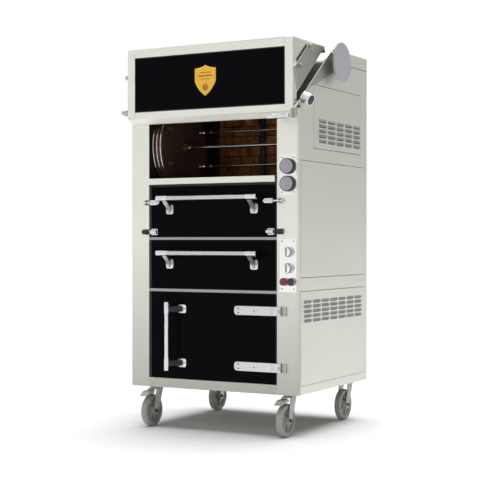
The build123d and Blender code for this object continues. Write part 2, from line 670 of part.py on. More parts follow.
def oven_door():
    liner_top = CHAMBER_FLOOR - OVEN_CEILING_GAP - SHEET
    plug_z = (OVEN_BOTTOM + SHEET + PLUG_INSET, liner_top - PLUG_INSET)
    door_panel("oven_door_panel", (OVEN_BOTTOM, OVEN_TOP), plug_z)
    handle_z = OVEN_TOP - OVEN_HANDLE_DROP
    handle = bar_handle((BAY_CENTRE, 0, handle_z), HANDLE_LENGTH / 2, HANDLE_SPREAD)
    save("oven_door_handle", *handle)
    pin_z = OVEN_BOTTOM + DOOR_PIN_RISE
    barrels = []
    for x in ((DOOR_LEFT, DOOR_LEFT + DOOR_BARREL), (DOOR_RIGHT - DOOR_BARREL, DOOR_RIGHT)):
        leaf = rounded_block(x, (-DOOR_PROUD - 4, -DOOR_PROUD), (pin_z - 16, pin_z + 16), 8.0, Axis.Y)
        leaf += rod_x((x[0] + 1, x[1] - 1), -DOOR_PIN_PROUD, pin_z, BARREL_RADIUS)
        barrels.append(leaf - rod_x((x[0] - 1, x[1] + 1), -DOOR_PIN_PROUD, pin_z,
                                    PIN_RADIUS + RUNNING_FIT))
    save("oven_door_fittings", *barrels, *[latch_body(side) for side in (-1, 1)])
    save("left_latch_bolt", latch_bolt(-1))
    save("right_latch_bolt", latch_bolt(1))


def latch_edge(side):
    return DOOR_RIGHT if side > 0 else DOOR_LEFT


def latch_body(side):
    edge = latch_edge(side)
    z = OVEN_TOP - LATCH_DROP
    x = (edge - side * 3, edge - side * (3 + LATCH_BODY[0]))
    y = (-DOOR_PROUD - LATCH_BODY[1], -DOOR_PROUD)
    body = rounded_block(x, y, (z - LATCH_BODY[2] / 2, z + LATCH_BODY[2] / 2), 7.0, Axis.X)
    return body - rod_x((x[0] + side, x[1] - side), -DOOR_PIN_PROUD, z, PIN_RADIUS + RUNNING_FIT)


def latch_bolt(side):
    edge = latch_edge(side)
    z = OVEN_TOP - LATCH_DROP
    inner = edge - side * (LATCH_BODY[0] + 3 + RUNNING_FIT)
    bolt = rod_x((inner, edge + side * LATCH_REACH), -DOOR_PIN_PROUD, z, PIN_RADIUS)
    return bolt + rod_x((inner, inner - side * 8), -DOOR_PIN_PROUD, z, 8.0)


def stile_fittings():
    """Fixed halves: oven-door hinge pins, open latch saddles, cupboard hinge leaves and pins."""
    solids = []
    pin_z = OVEN_BOTTOM + DOOR_PIN_RISE
    latch_z = OVEN_TOP - LATCH_DROP
    for side in (-1, 1):
        edge = latch_edge(side)
        opening = OPEN_RIGHT if side > 0 else OPEN_LEFT
        pin = rod_x((edge - side * DOOR_BARREL, opening + side * 30), -DOOR_PIN_PROUD, pin_z,
                    PIN_RADIUS)
        ball = Pos(opening + side * 12, -DOOR_PIN_PROUD, pin_z) * Sphere(11.0)
        foot = block((opening + side * 4, opening + side * 34), (-8, 0), (pin_z - 13, pin_z + 13))
        nut = rod_x((opening + side * 20, opening + side * 32), -DOOR_PIN_PROUD, pin_z, 8.0)
        solids.append(pin + ball + foot + nut)
        keeper = (edge + side * 21, edge + side * (21 + KEEPER_WIDTH))
        solids.append(block(keeper, (-8, 0), (latch_z - 12, latch_z + 12)))
        solids.append(block(keeper, (-22, -8), (latch_z - 12, latch_z - 6)))
        solids.append(block(keeper, (-22, -8), (latch_z + 6, latch_z + 12)))
    third = STRAP_HEIGHT / 3
    for z in STRAP_Z:
        leaf = block((HINGE_X + 6, HINGE_X + 34), (-4, 0), (z - STRAP_HEIGHT / 2, z + STRAP_HEIGHT / 2))
        middle = (z - third / 2 + RUNNING_FIT, z + third / 2 - RUNNING_FIT)
        knuckle = rod_z(HINGE_X, -HINGE_PROUD, middle, KNUCKLE_RADIUS)
        web = block((HINGE_X + 2, HINGE_X + 14), (-HINGE_PROUD + 4.5, -4), middle)
        pin = rod_z(HINGE_X, -HINGE_PROUD, (z - STRAP_HEIGHT / 2, z + STRAP_HEIGHT / 2), HINGE_PIN)
        solids.append(leaf + web + knuckle + pin)
    save("stile_fittings", *solids)


def drawer():
    """Front, handle and a tray of five plates that slides on the runners."""
    plug_z = (DRAWER_BOTTOM + PLUG_INSET, DRAWER_TOP - PLUG_INSET)
    door_panel("drawer_front", (DRAWER_BOTTOM, DRAWER_TOP), plug_z)
    handle_z = DRAWER_TOP - DRAWER_HANDLE_DROP
    handle = bar_handle((BAY_CENTRE, 0, handle_z), HANDLE_LENGTH / 2, HANDLE_SPREAD)
    save("drawer_handle", *handle)
    gap = RUNNER_WIDTH + DOOR_GAP
    x = (BAY_LEFT + gap, BAY_RIGHT - gap)
    y = (DOOR_THICKNESS - DOOR_PROUD, DRAWER_DEPTH)
    z0 = DRAWER_BOTTOM + TRAY_RISE
    z = (z0 + SHEET, z0 + DRAWER_WALL_HEIGHT)
    floor = block(x, y, (z0, z0 + SHEET))
    left = block((x[0], x[0] + SHEET), y, z)
    right = block((x[1] - SHEET, x[1]), y, z)
    back = block((x[0] + SHEET, x[1] - SHEET), (y[1] - SHEET, y[1]), z)
    save("drawer_tray", floor, left, right, back)


def cupboard_door():
    plug_z = (BASE_TOP + PLUG_INSET, CUPBOARD_TOP - PLUG_INSET)
    door_panel("cupboard_door_panel", (BASE_TOP, CUPBOARD_TOP), plug_z)
    centre = (DOOR_LEFT + CUPBOARD_HANDLE_INSET, 0, (STRAP_Z[0] + STRAP_Z[1]) / 2)
    handle = bar_handle((0, 0, 0), CUPBOARD_HANDLE / 2, CUPBOARD_SPREAD)
    save("cupboard_handle", *[Pos(*centre) * Rot(0, -90, 0) * solid for solid in handle])
    save("strap_hinges", *[solid for z in STRAP_Z for solid in strap_hinge(z)])


def strap_hinge(z):
    """Long rounded strap with two end knuckles, notched for the fixed knuckle, and its screws."""
    face = -DOOR_PROUD
    x = (HINGE_X - STRAP_LENGTH, HINGE_X - 2)
    third = STRAP_HEIGHT / 3
    strap = block(x, (face - 4, face), (z - STRAP_HEIGHT / 2, z + STRAP_HEIGHT / 2))
    strap = fillet(strap.edges().filter_by(Axis.Y).group_by(Axis.X)[0], STRAP_HEIGHT / 2 - 6)
    strap -= block((HINGE_X - 11, HINGE_X), (face - 9, 9), (z - third / 2, z + third / 2))
    for end in (-1, 1):
        limits = (z + end * third / 2, z + end * STRAP_HEIGHT / 2)
        strap += rod_z(HINGE_X, -HINGE_PROUD, limits, KNUCKLE_RADIUS)
    reach = (z - STRAP_HEIGHT, z + STRAP_HEIGHT)
    strap -= rod_z(HINGE_X, -HINGE_PROUD, reach, HINGE_PIN + RUNNING_FIT)
    screws = []
    for along, rise in ((16, 8), (16, -8), (120, 0), (205, 8), (205, -8)):
        screws.append(rod_y(x[0] + along, (face - 7, face - 4), z + rise, SCREW_RADIUS))
    return [strap, *screws]


# ---------------------------------------------------------------- controls
def control_plates():
    """Two screwed plates on the right stile, bored for the control spindles."""
    x = (CONTROL_X - CONTROL_WIDTH / 2, CONTROL_X + CONTROL_WIDTH / 2)
    solids = []
    for z in (UPPER_CONTROL, LOWER_CONTROL):
        plate = rounded_block(x, (-SHEET, 0), z, 4.0, Axis.Y)
        solids.append(plate)
        for corner_x, corner_z in ((x[0] + 12, z[0] + 14), (x[1] - 12, z[1] - 14)):
            screw = rod_y(corner_x, (-SHEET - 3, -SHEET), corner_z, SCREW_RADIUS)
            solids.append(screw)
    for button_x in BUTTON_X:
        bezel = rod_y(button_x, (-SHEET - 6, -SHEET), BUTTON_Z, BUTTON_BEZEL - 3.5)
        bore = rod_y(button_x, (-SHEET - 7, -SHEET), BUTTON_Z, BUTTON_RADIUS - 1.5 + RUNNING_FIT)
        solids.append(bezel - bore)
    save("control_plates", *solids)


def dial(name, z):
    """Thick disc with a recessed grey face and a small pointer rib."""
    back = -SHEET - CONTROL_PLATE_GAP
    body = rod_y(CONTROL_X, (back - DIAL_DEPTH, back), z, DIAL_RADIUS)
    body = fillet(body.edges().group_by(Axis.Y)[0], 3.0)
    rib = block((CONTROL_X - 2, CONTROL_X + 2), (back - DIAL_DEPTH - 2, back - DIAL_DEPTH),
                (z + 18, z + DIAL_RADIUS - 6))
    save(name, body + rib)


def knob(name, z):
    """Round knob with a raised grip bar across it."""
    back = -SHEET - CONTROL_PLATE_GAP
    skirt = rod_y(CONTROL_X, (back - 10, back), z, KNOB_RADIUS)
    skirt = fillet(skirt.edges().group_by(Axis.Y)[0], 2.0)
    grip = rounded_block(
        (CONTROL_X - 6, CONTROL_X + 6),
        (back - KNOB_DEPTH, back - 10),
        (z - KNOB_RADIUS + 3, z + KNOB_RADIUS - 3),
        5.0,
        Axis.Y,
    )
    save(name, skirt + grip)


def push_button(name, x):
    """Mushroom push button whose stem runs in its bezel."""
    head_back = -SHEET - 6 - BUTTON_TRAVEL - 1.0
    head = rod_y(x, (head_back - 6, head_back), BUTTON_Z, BUTTON_HEAD - 0.7)
    head = fillet(head.edges().group_by(Axis.Y)[0], 3.0)
    stem = rod_y(x, (head_back, -SHEET - BUTTON_TRAVEL - 0.5), BUTTON_Z, BUTTON_RADIUS - 1.5)
    save(name, head + stem)


# ---------------------------------------------------------------- visor
def visor_slope(y):
    """Height of the visor's slanted rear edge at a depth: parallel to the chamber's mouth."""
    slope = math.radians(MOUTH_SLOPE)
    return TOTAL_HEIGHT - (VISOR_TOP_DEPTH - y) * math.tan(slope)


def visor_shell():
    """Folded hood: window frame, top, two wedge cheeks and a bent lip, open at the rear."""
    half = HALF - VISOR_INSET
    front = -VISOR_PROUD
    z = (VISOR_BOTTOM, TOTAL_HEIGHT)
    inner = half - VISOR_FRAME
    y = (front, front + PLATE)
    left = block((-half, -inner), y, z)
    right = block((inner, half), y, z)
    lower = block((-inner, inner), y, (z[0], z[0] + VISOR_FRAME - 8))
    upper = block((-inner, inner), y, (z[1] - VISOR_FRAME, z[1]))
    top = block((-half, half), (y[1], VISOR_TOP_DEPTH), (z[1] - PLATE, z[1]))
    tail = -MOUTH_GAP
    skirt_outline = [
        (y[1], z[0] + PLATE),
        (tail, z[0] - LIP_RISE + 2 * PLATE),
        (tail, z[1] - PLATE),
        (y[1], z[1] - PLATE),
    ]
    wedge_outline = [
        (tail, visor_slope(tail)),
        (VISOR_TOP_DEPTH - PLATE, z[1] - PLATE),
        (tail, z[1] - PLATE),
    ]
    skirt = side_plate(skirt_outline, (half - PLATE, half))
    wedge = side_plate(wedge_outline, (half - PLATE, half))
    lip_outline = [
        (front, z[0]),
        (tail, z[0] - LIP_RISE),
        (tail, z[0] - LIP_RISE + PLATE),
        (front + PLATE, z[0]),
    ]
    lip = side_plate(lip_outline, (-half, half))
    slope = math.radians(MOUTH_SLOPE)
    flange_y = VISOR_TOP_DEPTH + FLANGE_LENGTH * math.sin(slope)
    flange_z = z[1] - PLATE - FLANGE_LENGTH * math.cos(slope)
    flange_outline = [
        (VISOR_TOP_DEPTH, z[1] - PLATE),
        (flange_y, flange_z),
        (flange_y - PLATE * math.cos(slope), flange_z - PLATE * math.sin(slope)),
        (VISOR_TOP_DEPTH - 2 * PLATE, z[1] - PLATE),
    ]
    flange = side_plate(flange_outline, (-half + PLATE, half - PLATE))
    cheeks = (mirrored(skirt), skirt, mirrored(wedge), wedge)
    save("visor_shell", left, right, lower, upper, top, *cheeks, lip, flange)
    glass_z = (z[0] + VISOR_FRAME - 8, z[1] - VISOR_FRAME)
    glass_y = (front + 1, front + 1 + GLASS_THICKNESS)
    save("visor_glass", block((-inner, inner), glass_y, glass_z))


def visor_badge():
    """Plain shield on the glass: an empty heraldic outline with a domed top edge."""
    half = BADGE_WIDTH / 2
    top = (VISOR_BOTTOM + TOTAL_HEIGHT) / 2 + BADGE_HEIGHT / 2 - 3
    low = top - BADGE_HEIGHT
    shoulder = top - 0.52 * BADGE_HEIGHT
    rise = 0.1 * BADGE_HEIGHT
    left = [(-half, top - rise), (-half, shoulder)]
    with BuildSketch(Plane.XZ) as sketch:
        with BuildLine():
            Line(left[0], left[1])
            Spline(left[1], (-0.62 * half, low + 0.22 * BADGE_HEIGHT), (0, low))
            Spline((0, low), (0.62 * half, low + 0.22 * BADGE_HEIGHT), (half, shoulder))
            Line((half, shoulder), (half, top - rise))
            ThreePointArc((half, top - rise), (half / 2, top - rise * 0.75), (0, top))
            ThreePointArc((0, top), (-half / 2, top - rise * 0.75), (-half, top - rise))
        make_face()
    badge = extrude(sketch.sketch, amount=3.0)
    glass_front = -VISOR_PROUD + 1
    save("visor_badge", Pos(BADGE_X, glass_front, 0) * badge)


def brace_point(along, rise):
    """A point on a cheek, from the top of its slanted edge, down along it and square to it."""
    slope = math.radians(MOUTH_SLOPE)
    y = VISOR_TOP_DEPTH - along * math.cos(slope) - rise * math.sin(slope)
    return y, TOTAL_HEIGHT - along * math.sin(slope) + rise * math.cos(slope)


def visor_braces():
    """Raised diagonal stiffeners on the cheeks with their bolts."""
    slope = math.radians(MOUTH_SLOPE)
    low, high = 4.0, BRACE_WIDTH
    start_low = (low * math.cos(slope) + 6) / math.sin(slope)
    start_high = (high * math.cos(slope) + 6) / math.sin(slope)
    run = (VISOR_TOP_DEPTH + VISOR_PROUD - 8) / math.cos(slope)
    end_low = run - low * math.tan(slope) - 50
    end_high = run - high * math.tan(slope)
    outline = [
        brace_point(start_low, low),
        brace_point(start_high, high),
        brace_point(end_high, high),
        brace_point(end_low, low),
    ]
    half = HALF - VISOR_INSET
    brace = side_plate(outline, (half, half + BRACE_THICKNESS))
    save("visor_braces", mirrored(brace), brace, *visor_bolts())


def arm_point(along, rise):
    """A point on a lift arm, from the pivot, down along the arm and square to it."""
    angle = math.radians(ARM_ANGLE)
    y = PIVOT_Y - along * math.cos(angle) - rise * math.sin(angle)
    return y, PIVOT_Z - along * math.sin(angle) + rise * math.cos(angle)


def lift_arm(reach):
    """Flat bar that widens into a hub round the pivot."""
    low = ARM_TOP - ARM_BAR
    outline = [
        arm_point(0, ARM_TOP),
        arm_point(reach, ARM_TOP),
        arm_point(reach, low),
        arm_point(0.70 * TIE_ALONG, low),
        arm_point(0.51 * TIE_ALONG, low - 32),
        arm_point(0.28 * TIE_ALONG, low - 60),
        arm_point(30, low - 90),
    ]
    arm = side_plate(outline, (ARM_INNER, ARM_OUTER))
    arm += rod_x((ARM_INNER, ARM_OUTER), PIVOT_Y, PIVOT_Z, HUB_RADIUS)
    arm += rod_x((ARM_OUTER, DISC_INNER), PIVOT_Y, PIVOT_Z, PIVOT_RADIUS + 10)
    return arm - rod_x((ARM_INNER - 1, DISC_INNER + 1), PIVOT_Y, PIVOT_Z, PIVOT_RADIUS + RUNNING_FIT)


def visor_arms():
    save("left_lift_arm", mirrored(lift_arm(TIE_ALONG + ARM_TAIL)))
    reach = TIE_ALONG + LEVER_TAIL
    tab_y = (GRIP_Y - 10, arm_point(reach - 15, ARM_TOP)[0])
    tab_z = (GRIP_Z - 10, arm_point(reach - 15, ARM_TOP - ARM_BAR)[1])
    save("right_lift_arm", lift_arm(reach) + block((ARM_INNER, ARM_OUTER), tab_y, tab_z))
    grip_x = (ARM_INNER - GRIP_LENGTH, ARM_INNER)
    grip = rod_x((grip_x[0], grip_x[1] - 8), GRIP_Y, GRIP_Z, GRIP_RADIUS)
    grip = fillet(grip.edges().filter_by(GeomType.CIRCLE), 3.0)
    save("lever_grip", grip, rod_x((grip_x[1] - 8, grip_x[1]), GRIP_Y, GRIP_Z, 6.0))
    y, z = arm_point(TIE_ALONG - WEIGHT_PLACE, ARM_TOP - WEIGHT_DROP)
    weight = rod_x((ARM_OUTER, ARM_OUTER + WEIGHT_LENGTH), y, z, WEIGHT_RADIUS)
    save("arm_weight", fillet(weight.edges().group_by(Axis.X)[-1], 3.0))
    disc = rod_x((DISC_INNER, DISC_INNER + DISC_THICKNESS), PIVOT_Y, PIVOT_Z, DISC_RADIUS)
    disc -= rod_x((DISC_INNER - 1, DISC_INNER + 5), PIVOT_Y, PIVOT_Z, PIVOT_RADIUS + RUNNING_FIT)
    save("balance_disc", fillet(disc.edges().group_by(Axis.X)[-1], 2.0))


def visor_bolts():
    """Bolts that hold the braces and tie both arms to the cheeks."""
    solids = []
    half = HALF - VISOR_INSET
    face = half + BRACE_THICKNESS
    for side in (-1, 1):
        head = STUD_LENGTH if side < 0 else 20.0
        for along, rise in ((310, 88), (152, 96)):
            y, z = brace_point(along, rise)
            length = head if along > 200 else 14.0
            solids.append(rod_x((side * face, side * (HALF + length)), y, z, STUD_RADIUS))
        inner = ARM_INNER - half
        solids.append(rod_x((side * half, side * (half + inner)), TIE_Y, TIE_Z, 7.0))
        outer = HALF + STUD_LENGTH if side < 0 else ARM_OUTER + 9
        solids.append(rod_x((side * ARM_OUTER, side * outer), TIE_Y, TIE_Z, STUD_RADIUS))
    return solids


def pivot_shafts():
    """Fixed stub shafts and their flanges on the cabinet's sides."""
    solids = []
    for side, reach in ((-1, DISC_INNER), (1, DISC_INNER + 4.5)):
        shaft = rod_x((side * HALF, side * reach), PIVOT_Y, PIVOT_Z, PIVOT_RADIUS)
        shaft += rod_x((side * HALF, side * (ARM_INNER - 2)), PIVOT_Y, PIVOT_Z, HUB_RADIUS - 8)
        solids.append(shaft)
    save("pivot_shafts", *solids)


# ---------------------------------------------------------------- casters
def caster(name, x, y, braked):
    """Top plate fixed to the base, swivelling fork, wheel and, in front, a brake pedal."""
    axle_y = y - CASTER_TRAIL
    crown_z = FLOOR_CLEARANCE - CASTER_PLATE[2] - 3
    fork_x = HUB_WIDTH / 2 + FORK_GAP
    crown_low = crown_z - FORK_CROWN_HEIGHT
    width = fork_x + FORK_THICKNESS
    crown = rod_z(x, y, (crown_z, crown_low), SWIVEL_RADIUS + 4)
    crown += block((x - width, x + width), (axle_y + 6, y + 24), (crown_low, crown_low + 5))
    half = 16.0
    outline = [
        (y + 24, crown_low + 5),
        (axle_y + 6, crown_low + 5),
        (axle_y - half, WHEEL_RADIUS + 10),
        (axle_y - half, WHEEL_RADIUS - half),
        (axle_y + half, WHEEL_RADIUS - half),
    ]
    for side in (-1, 1):
        crown += side_plate(outline, (x + side * fork_x, x + side * width))
    bolt_x = (x - width - 5, x + width + 5)
    axle = rod_x(bolt_x, axle_y, WHEEL_RADIUS, AXLE_RADIUS)
    save(f"{name}_fork", crown + axle)
    tyre = rod_x((x - TREAD_WIDTH / 2, x + TREAD_WIDTH / 2), axle_y, WHEEL_RADIUS, WHEEL_RADIUS)
    tyre = fillet(tyre.edges().filter_by(GeomType.CIRCLE), 7.0)
    core = rod_x((x - 99, x + 99), axle_y, WHEEL_RADIUS, WHEEL_RADIUS - 18)
    hub_x = (x - HUB_WIDTH / 2, x + HUB_WIDTH / 2)
    hub = rod_x((x - 9, x + 9), axle_y, WHEEL_RADIUS, WHEEL_RADIUS - 18)
    hub += rod_x(hub_x, axle_y, WHEEL_RADIUS, WHEEL_HUB_RADIUS)
    hub -= rod_x((x - 99, x + 99), axle_y, WHEEL_RADIUS, AXLE_RADIUS + RUNNING_FIT)
    save(f"{name}_wheel", tyre - core, hub)
    if braked:
        save(f"{name}_brake", brake_pedal(x, axle_y, crown_low))


def brake_pedal(x, axle_y, crown_low):
    """Pedal over the front of the wheel that pivots between the fork's cheeks."""
    low = 2 * WHEEL_RADIUS + 4
    outline = [
        (axle_y - 4, crown_low - 3),
        (axle_y - 52, crown_low - 5),
        (axle_y - 82, low - 2),
        (axle_y - 82, low - 6),
        (axle_y - 50, low + 3),
        (axle_y - 4, low + 4),
    ]
    half = HUB_WIDTH / 2 + 1
    return side_plate(outline, (x - half, x + half))


def caster_tops(places):
    solids = []
    for x, y in places:
        z = FLOOR_CLEARANCE
        half_x, half_y = CASTER_PLATE[0] / 2, CASTER_PLATE[1] / 2
        plate = block((x - half_x, x + half_x), (y - half_y, y + half_y), (z - CASTER_PLATE[2], z))
        race = rod_z(x, y, (z - CASTER_PLATE[2] - 2.5, z - CASTER_PLATE[2]), SWIVEL_RADIUS)
        solids.append(plate + race)
    save("caster_tops", *solids)


def casters():
    places = {
        "front_left": (-CASTER_X, FRONT_CASTER_Y, True),
        "front_right": (CASTER_X, FRONT_CASTER_Y, True),
        "rear_left": (-CASTER_X, REAR_CASTER_Y, False),
        "rear_right": (CASTER_X, REAR_CASTER_Y, False),
    }
    for name, (x, y, braked) in places.items():
        caster(name, x, y, braked)
    caster_tops([(x, y) for x, y, braked in places.values()])


# ---------------------------------------------------------------- the whole oven
base_pan()
front_stiles()
front_rails()
inner_frame()
side_panels()
right_access_panels()
back_panel()
roof_panel()
chamber_liner()
firebrick()
burner_pipe()
rotor()
spit("upper_spit", 0)
spit("lower_spit", 5)
rotor_drive()
oven_liner()
oven_rack()
lower_partitions()
oven_door()
stile_fittings()
drawer()
cupboard_door()
control_plates()
dial("lower_dial", DIAL_Z[0])
dial("upper_dial", DIAL_Z[1])
knob("lower_knob", KNOB_Z[0])
knob("upper_knob", KNOB_Z[1])
push_button("start_button", BUTTON_X[0])
push_button("stop_button", BUTTON_X[1])
visor_shell()
visor_badge()
visor_braces()
visor_arms()
pivot_shafts()
casters()
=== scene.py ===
import math
import random

import bmesh
import bpy
from mathutils import Matrix, Vector


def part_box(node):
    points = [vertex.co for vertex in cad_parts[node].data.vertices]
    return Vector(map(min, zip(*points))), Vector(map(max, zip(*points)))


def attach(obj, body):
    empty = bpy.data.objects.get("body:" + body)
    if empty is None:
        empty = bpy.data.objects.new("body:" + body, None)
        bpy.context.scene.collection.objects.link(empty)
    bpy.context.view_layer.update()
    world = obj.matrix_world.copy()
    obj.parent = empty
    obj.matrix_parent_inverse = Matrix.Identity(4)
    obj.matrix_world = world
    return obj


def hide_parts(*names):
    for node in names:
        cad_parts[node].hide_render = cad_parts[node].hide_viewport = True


bl_info = {
    "name": "Rotisserie Oven",
    "version": (1, 0, 0),
    "blender": (4, 5, 0),
    "location": "3D View > Sidebar > Oven",
    "description": "Builds the detailed surfaces of a rotisserie oven around its frame",
    "category": "Add Mesh",
}

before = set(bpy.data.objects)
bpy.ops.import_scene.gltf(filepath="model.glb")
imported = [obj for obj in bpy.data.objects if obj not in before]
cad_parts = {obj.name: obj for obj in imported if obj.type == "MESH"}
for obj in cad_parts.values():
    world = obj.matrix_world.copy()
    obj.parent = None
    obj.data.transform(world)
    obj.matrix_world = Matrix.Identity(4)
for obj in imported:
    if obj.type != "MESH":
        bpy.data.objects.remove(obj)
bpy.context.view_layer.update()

# Pieces are shaped in millimetres from the middle of the cabinet's front edge, at floor level.
PER_METRE = 1000
STILE_LOW, STILE_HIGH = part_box("front_stiles")
FRONT_EDGE = ((STILE_LOW.x + STILE_HIGH.x) / 2, STILE_LOW.y, 0.0)
TO_FRAME = Matrix.Translation(FRONT_EDGE) @ Matrix.Scale(1 / PER_METRE, 4)
FROM_FRAME = TO_FRAME.inverted()
RIGHT, LEFT = (1, 0, 0), (-1, 0, 0)
BACK, FRONT = (0, 1, 0), (0, -1, 0)
UP = (0, 0, 1)
CORNERS = ("front_left", "front_right", "rear_left", "rear_right")

# Edges sharper than this many degrees are rounded. Copies with round parts take the second number, so
# that their facets stay whole, and round bars and rounded plates take the third.
EDGE_ANGLE, ROUND_ANGLE, BAR_ANGLE = 40.0, 50.0, 60.0
# Points of a frame node closer than this are welded, and faces that bend less than this are joined.
WELD_GAP, FLAT_ANGLE = 0.01, 0.6
# Smooth shading stops at edges sharper than this.
CREASE_ANGLE = 35.0
# A face is sheet, and shaded flat, from this area and width on. It is not sheet when a curve runs through
# it: when a neighbour with this share of its area bends away by an angle between the last two.
SHEET_AREA, SHEET_WIDTH, NEIGHBOUR_SHARE = 1500.0, 12.0, 0.3
CURVE_LEAST, CURVE_MOST = 1.0, 20.0


def linear(hex_colour):
    """An sRGB hex colour as linear red, green, blue and alpha."""
    channels = [int(hex_colour[i : i + 2], 16) / 255 for i in (1, 3, 5)]
    return (*[c / 12.92 if c <= 0.04045 else ((c + 0.055) / 1.055) ** 2.4 for c in channels], 1.0)


def colour_setting(name, description, hex_colour):
    return bpy.props.FloatVectorProperty(
        name=name, description=description, subtype="COLOR", size=4, min=0.0, max=1.0,
        default=linear(hex_colour),
    )


def length_setting(name, description, metres):
    return bpy.props.FloatProperty(
        name=name, description=description, unit="LENGTH", min=0.0, precision=5, default=metres
    )


class OvenSizes(bpy.types.PropertyGroup):
    sheet_edge: length_setting("Sheet edge", "Rounding along the edges of the sheet metal", 0.0007)
    bar_edge: length_setting("Bar edge", "Rounding along the edges of the lift arms", 0.0015)
    hood_rise: length_setting("Louvre rise", "How far the louvre hoods stand off the side", 0.008)
    hood_wall: length_setting("Louvre wall", "Thickness of the pressed louvre hoods", 0.001)
    brick_gap: length_setting("Mortar joint", "Width of the joints between the firebricks", 0.004)
    brick_length: length_setting("Brick length", "Length of one firebrick", 0.11)
    brick_height: length_setting("Brick height", "Height of one course of firebricks", 0.055)
    screw_radius: length_setting("Screw head", "Radius of the sheet-metal screw heads", 0.0045)


class OvenColours(bpy.types.PropertyGroup):
    steel: colour_setting("Front steel", "Brushed stainless of the frame and hood", "#E9E8DF")
    side: colour_setting("Side steel", "Satin stainless of the cabinet sides", "#DEDDD3")
    enamel: colour_setting("Enamel", "Gloss black of the doors and the drawer", "#08080A")
    chrome: colour_setting("Chrome", "Handle sleeves, latches and hinge fittings", "#D8D8DC")
    soot: colour_setting("Heated steel", "Oven and chamber linings after use", "#54463A")
    brick: colour_setting("Firebrick", "Fired clay at the back of the chamber", "#B47442")
    gold: colour_setting("Badge", "Anodised badge on the hood", "#E8B84A")
    disc: colour_setting("Disc grey", "Painted balance disc", "#B2B0B6")
    dial: colour_setting("Dial grey", "Faces of the two large dials", "#A4A2A8")
    red: colour_setting("Button red", "Moulded button heads", "#84162C")
    caster: colour_setting("Caster grey", "Plated forks and moulded wheels", "#B4B4B0")


def sizes():
    """The sizes in millimetres, as every piece uses them."""
    settings = bpy.context.scene.oven_sizes
    return {name: getattr(settings, name) * PER_METRE for name in OvenSizes.__annotations__}


# ---------------------------------------------------------------- shapes


def span(node):
    """Lowest and highest corners of a frame node, in millimetres."""
    low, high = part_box(node)
    return FROM_FRAME @ low, FROM_FRAME @ high


def round_span(node, across="z"):
    """Corners, centre and radius of a frame node that is round."""
    low, high = span(node)
    return low, high, (low + high) / 2, (getattr(high, across) - getattr(low, across)) / 2


def soften(bm, width, angle=EDGE_ANGLE, segments=2):
    """Rounds every edge of a shape that is sharper than an angle."""
    limit = math.radians(angle)
    sharp = [e for e in bm.edges if len(e.link_faces) == 2 and e.calc_face_angle(0.0) > limit]
    bmesh.ops.bevel(
        bm, geom=sharp, offset=width, offset_type="OFFSET", segments=segments, profile=0.5, affect="EDGES",
        material=-1, clamp_overlap=False,
    )
    return bm


def block(low, high, edge=0.0, segments=2):
    """A block between two corners, its edges rounded."""
    low, high = Vector(low), Vector(high)
    bm = bmesh.new()
    place = Matrix.Translation((low + high) / 2) @ Matrix.Diagonal((*(high - low), 1.0))
    bmesh.ops.create_cube(bm, size=1.0, matrix=place)
    return soften(bm, edge, segments=segments) if edge else bm


def facing(start, direction):
    """Stands a shape made along +Z at a point, along a direction."""
    turning = Vector(UP).rotation_difference(Vector(direction)).to_matrix().to_4x4()
    return Matrix.Translation(Vector(start)) @ turning


def rod(start, end, radius, edge=0.0, sides=32):
    """A round bar between two points, its ends rounded."""
    start, end = Vector(start), Vector(end)
    bm = bmesh.new()
    bmesh.ops.create_cone(
        bm, cap_ends=True, segments=sides, radius1=radius, radius2=radius, depth=(end - start).length,
        matrix=facing((start + end) / 2, end - start),
    )
    return soften(bm, edge, angle=BAR_ANGLE) if edge else bm


def turned(profile, start, direction, steps=40, closed=False):
    """A lathe shape: a profile of radius and height, spun about a line from a point."""
    bm = bmesh.new()
    points = [bm.verts.new((radius, 0.0, height)) for radius, height in profile]
    edges = [bm.edges.new(pair) for pair in zip(points, points[1:])]
    if closed:
        edges.append(bm.edges.new((points[-1], points[0])))
    bmesh.ops.spin(
        bm, geom=points + edges, axis=UP, cent=(0, 0, 0), angle=math.tau, steps=steps, use_merge=True
    )
    bmesh.ops.remove_doubles(bm, verts=bm.verts, dist=0.001)
    bmesh.ops.dissolve_degenerate(bm, edges=bm.edges, dist=0.0001)
    bmesh.ops.recalc_face_normals(bm, faces=bm.faces)
    bmesh.ops.transform(bm, matrix=facing(start, direction), verts=bm.verts)
    return bm


def collar(centre, bore, radius, half, ease, steps=32):
    """A ring round a level bar, reaching half its length either way, with its rims eased."""
    profile = (
        (bore, -half), (radius - 1, -half), (radius, ease - half),
        (radius, half - ease), (radius - 1, half), (bore, half),
    )
    return turned(profile, centre, RIGHT, steps, closed=True)


def plate(points, depth, edge=0.0, segments=2):
    """A flat outline of points, pushed out along a vector and rounded."""
    bm = bmesh.new()
    face = bm.faces.new([bm.verts.new(point) for point in points])
    pushed = bmesh.ops.extrude_face_region(bm, geom=[face])["geom"]
    bmesh.ops.translate(bm, vec=depth, verts=[v for v in pushed if isinstance(v, bmesh.types.BMVert)])
    bmesh.ops.recalc_face_normals(bm, faces=bm.faces)
    return soften(bm, edge, segments=segments) if edge else bm


def copy_of(node, edge=0.0, angle=EDGE_ANGLE):
    """A welded copy of a frame node, its flat faces whole and its sharp edges rounded."""
    bm = bmesh.new()
    bm.from_mesh(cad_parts[node].data)
    bmesh.ops.transform(bm, matrix=FROM_FRAME, verts=bm.verts)
    bmesh.ops.remove_doubles(bm, verts=bm.verts, dist=WELD_GAP)
    bmesh.ops.dissolve_limit(bm, angle_limit=math.radians(FLAT_ANGLE), verts=bm.verts, edges=bm.edges)
    return soften(bm, edge, angle=angle) if edge else bm


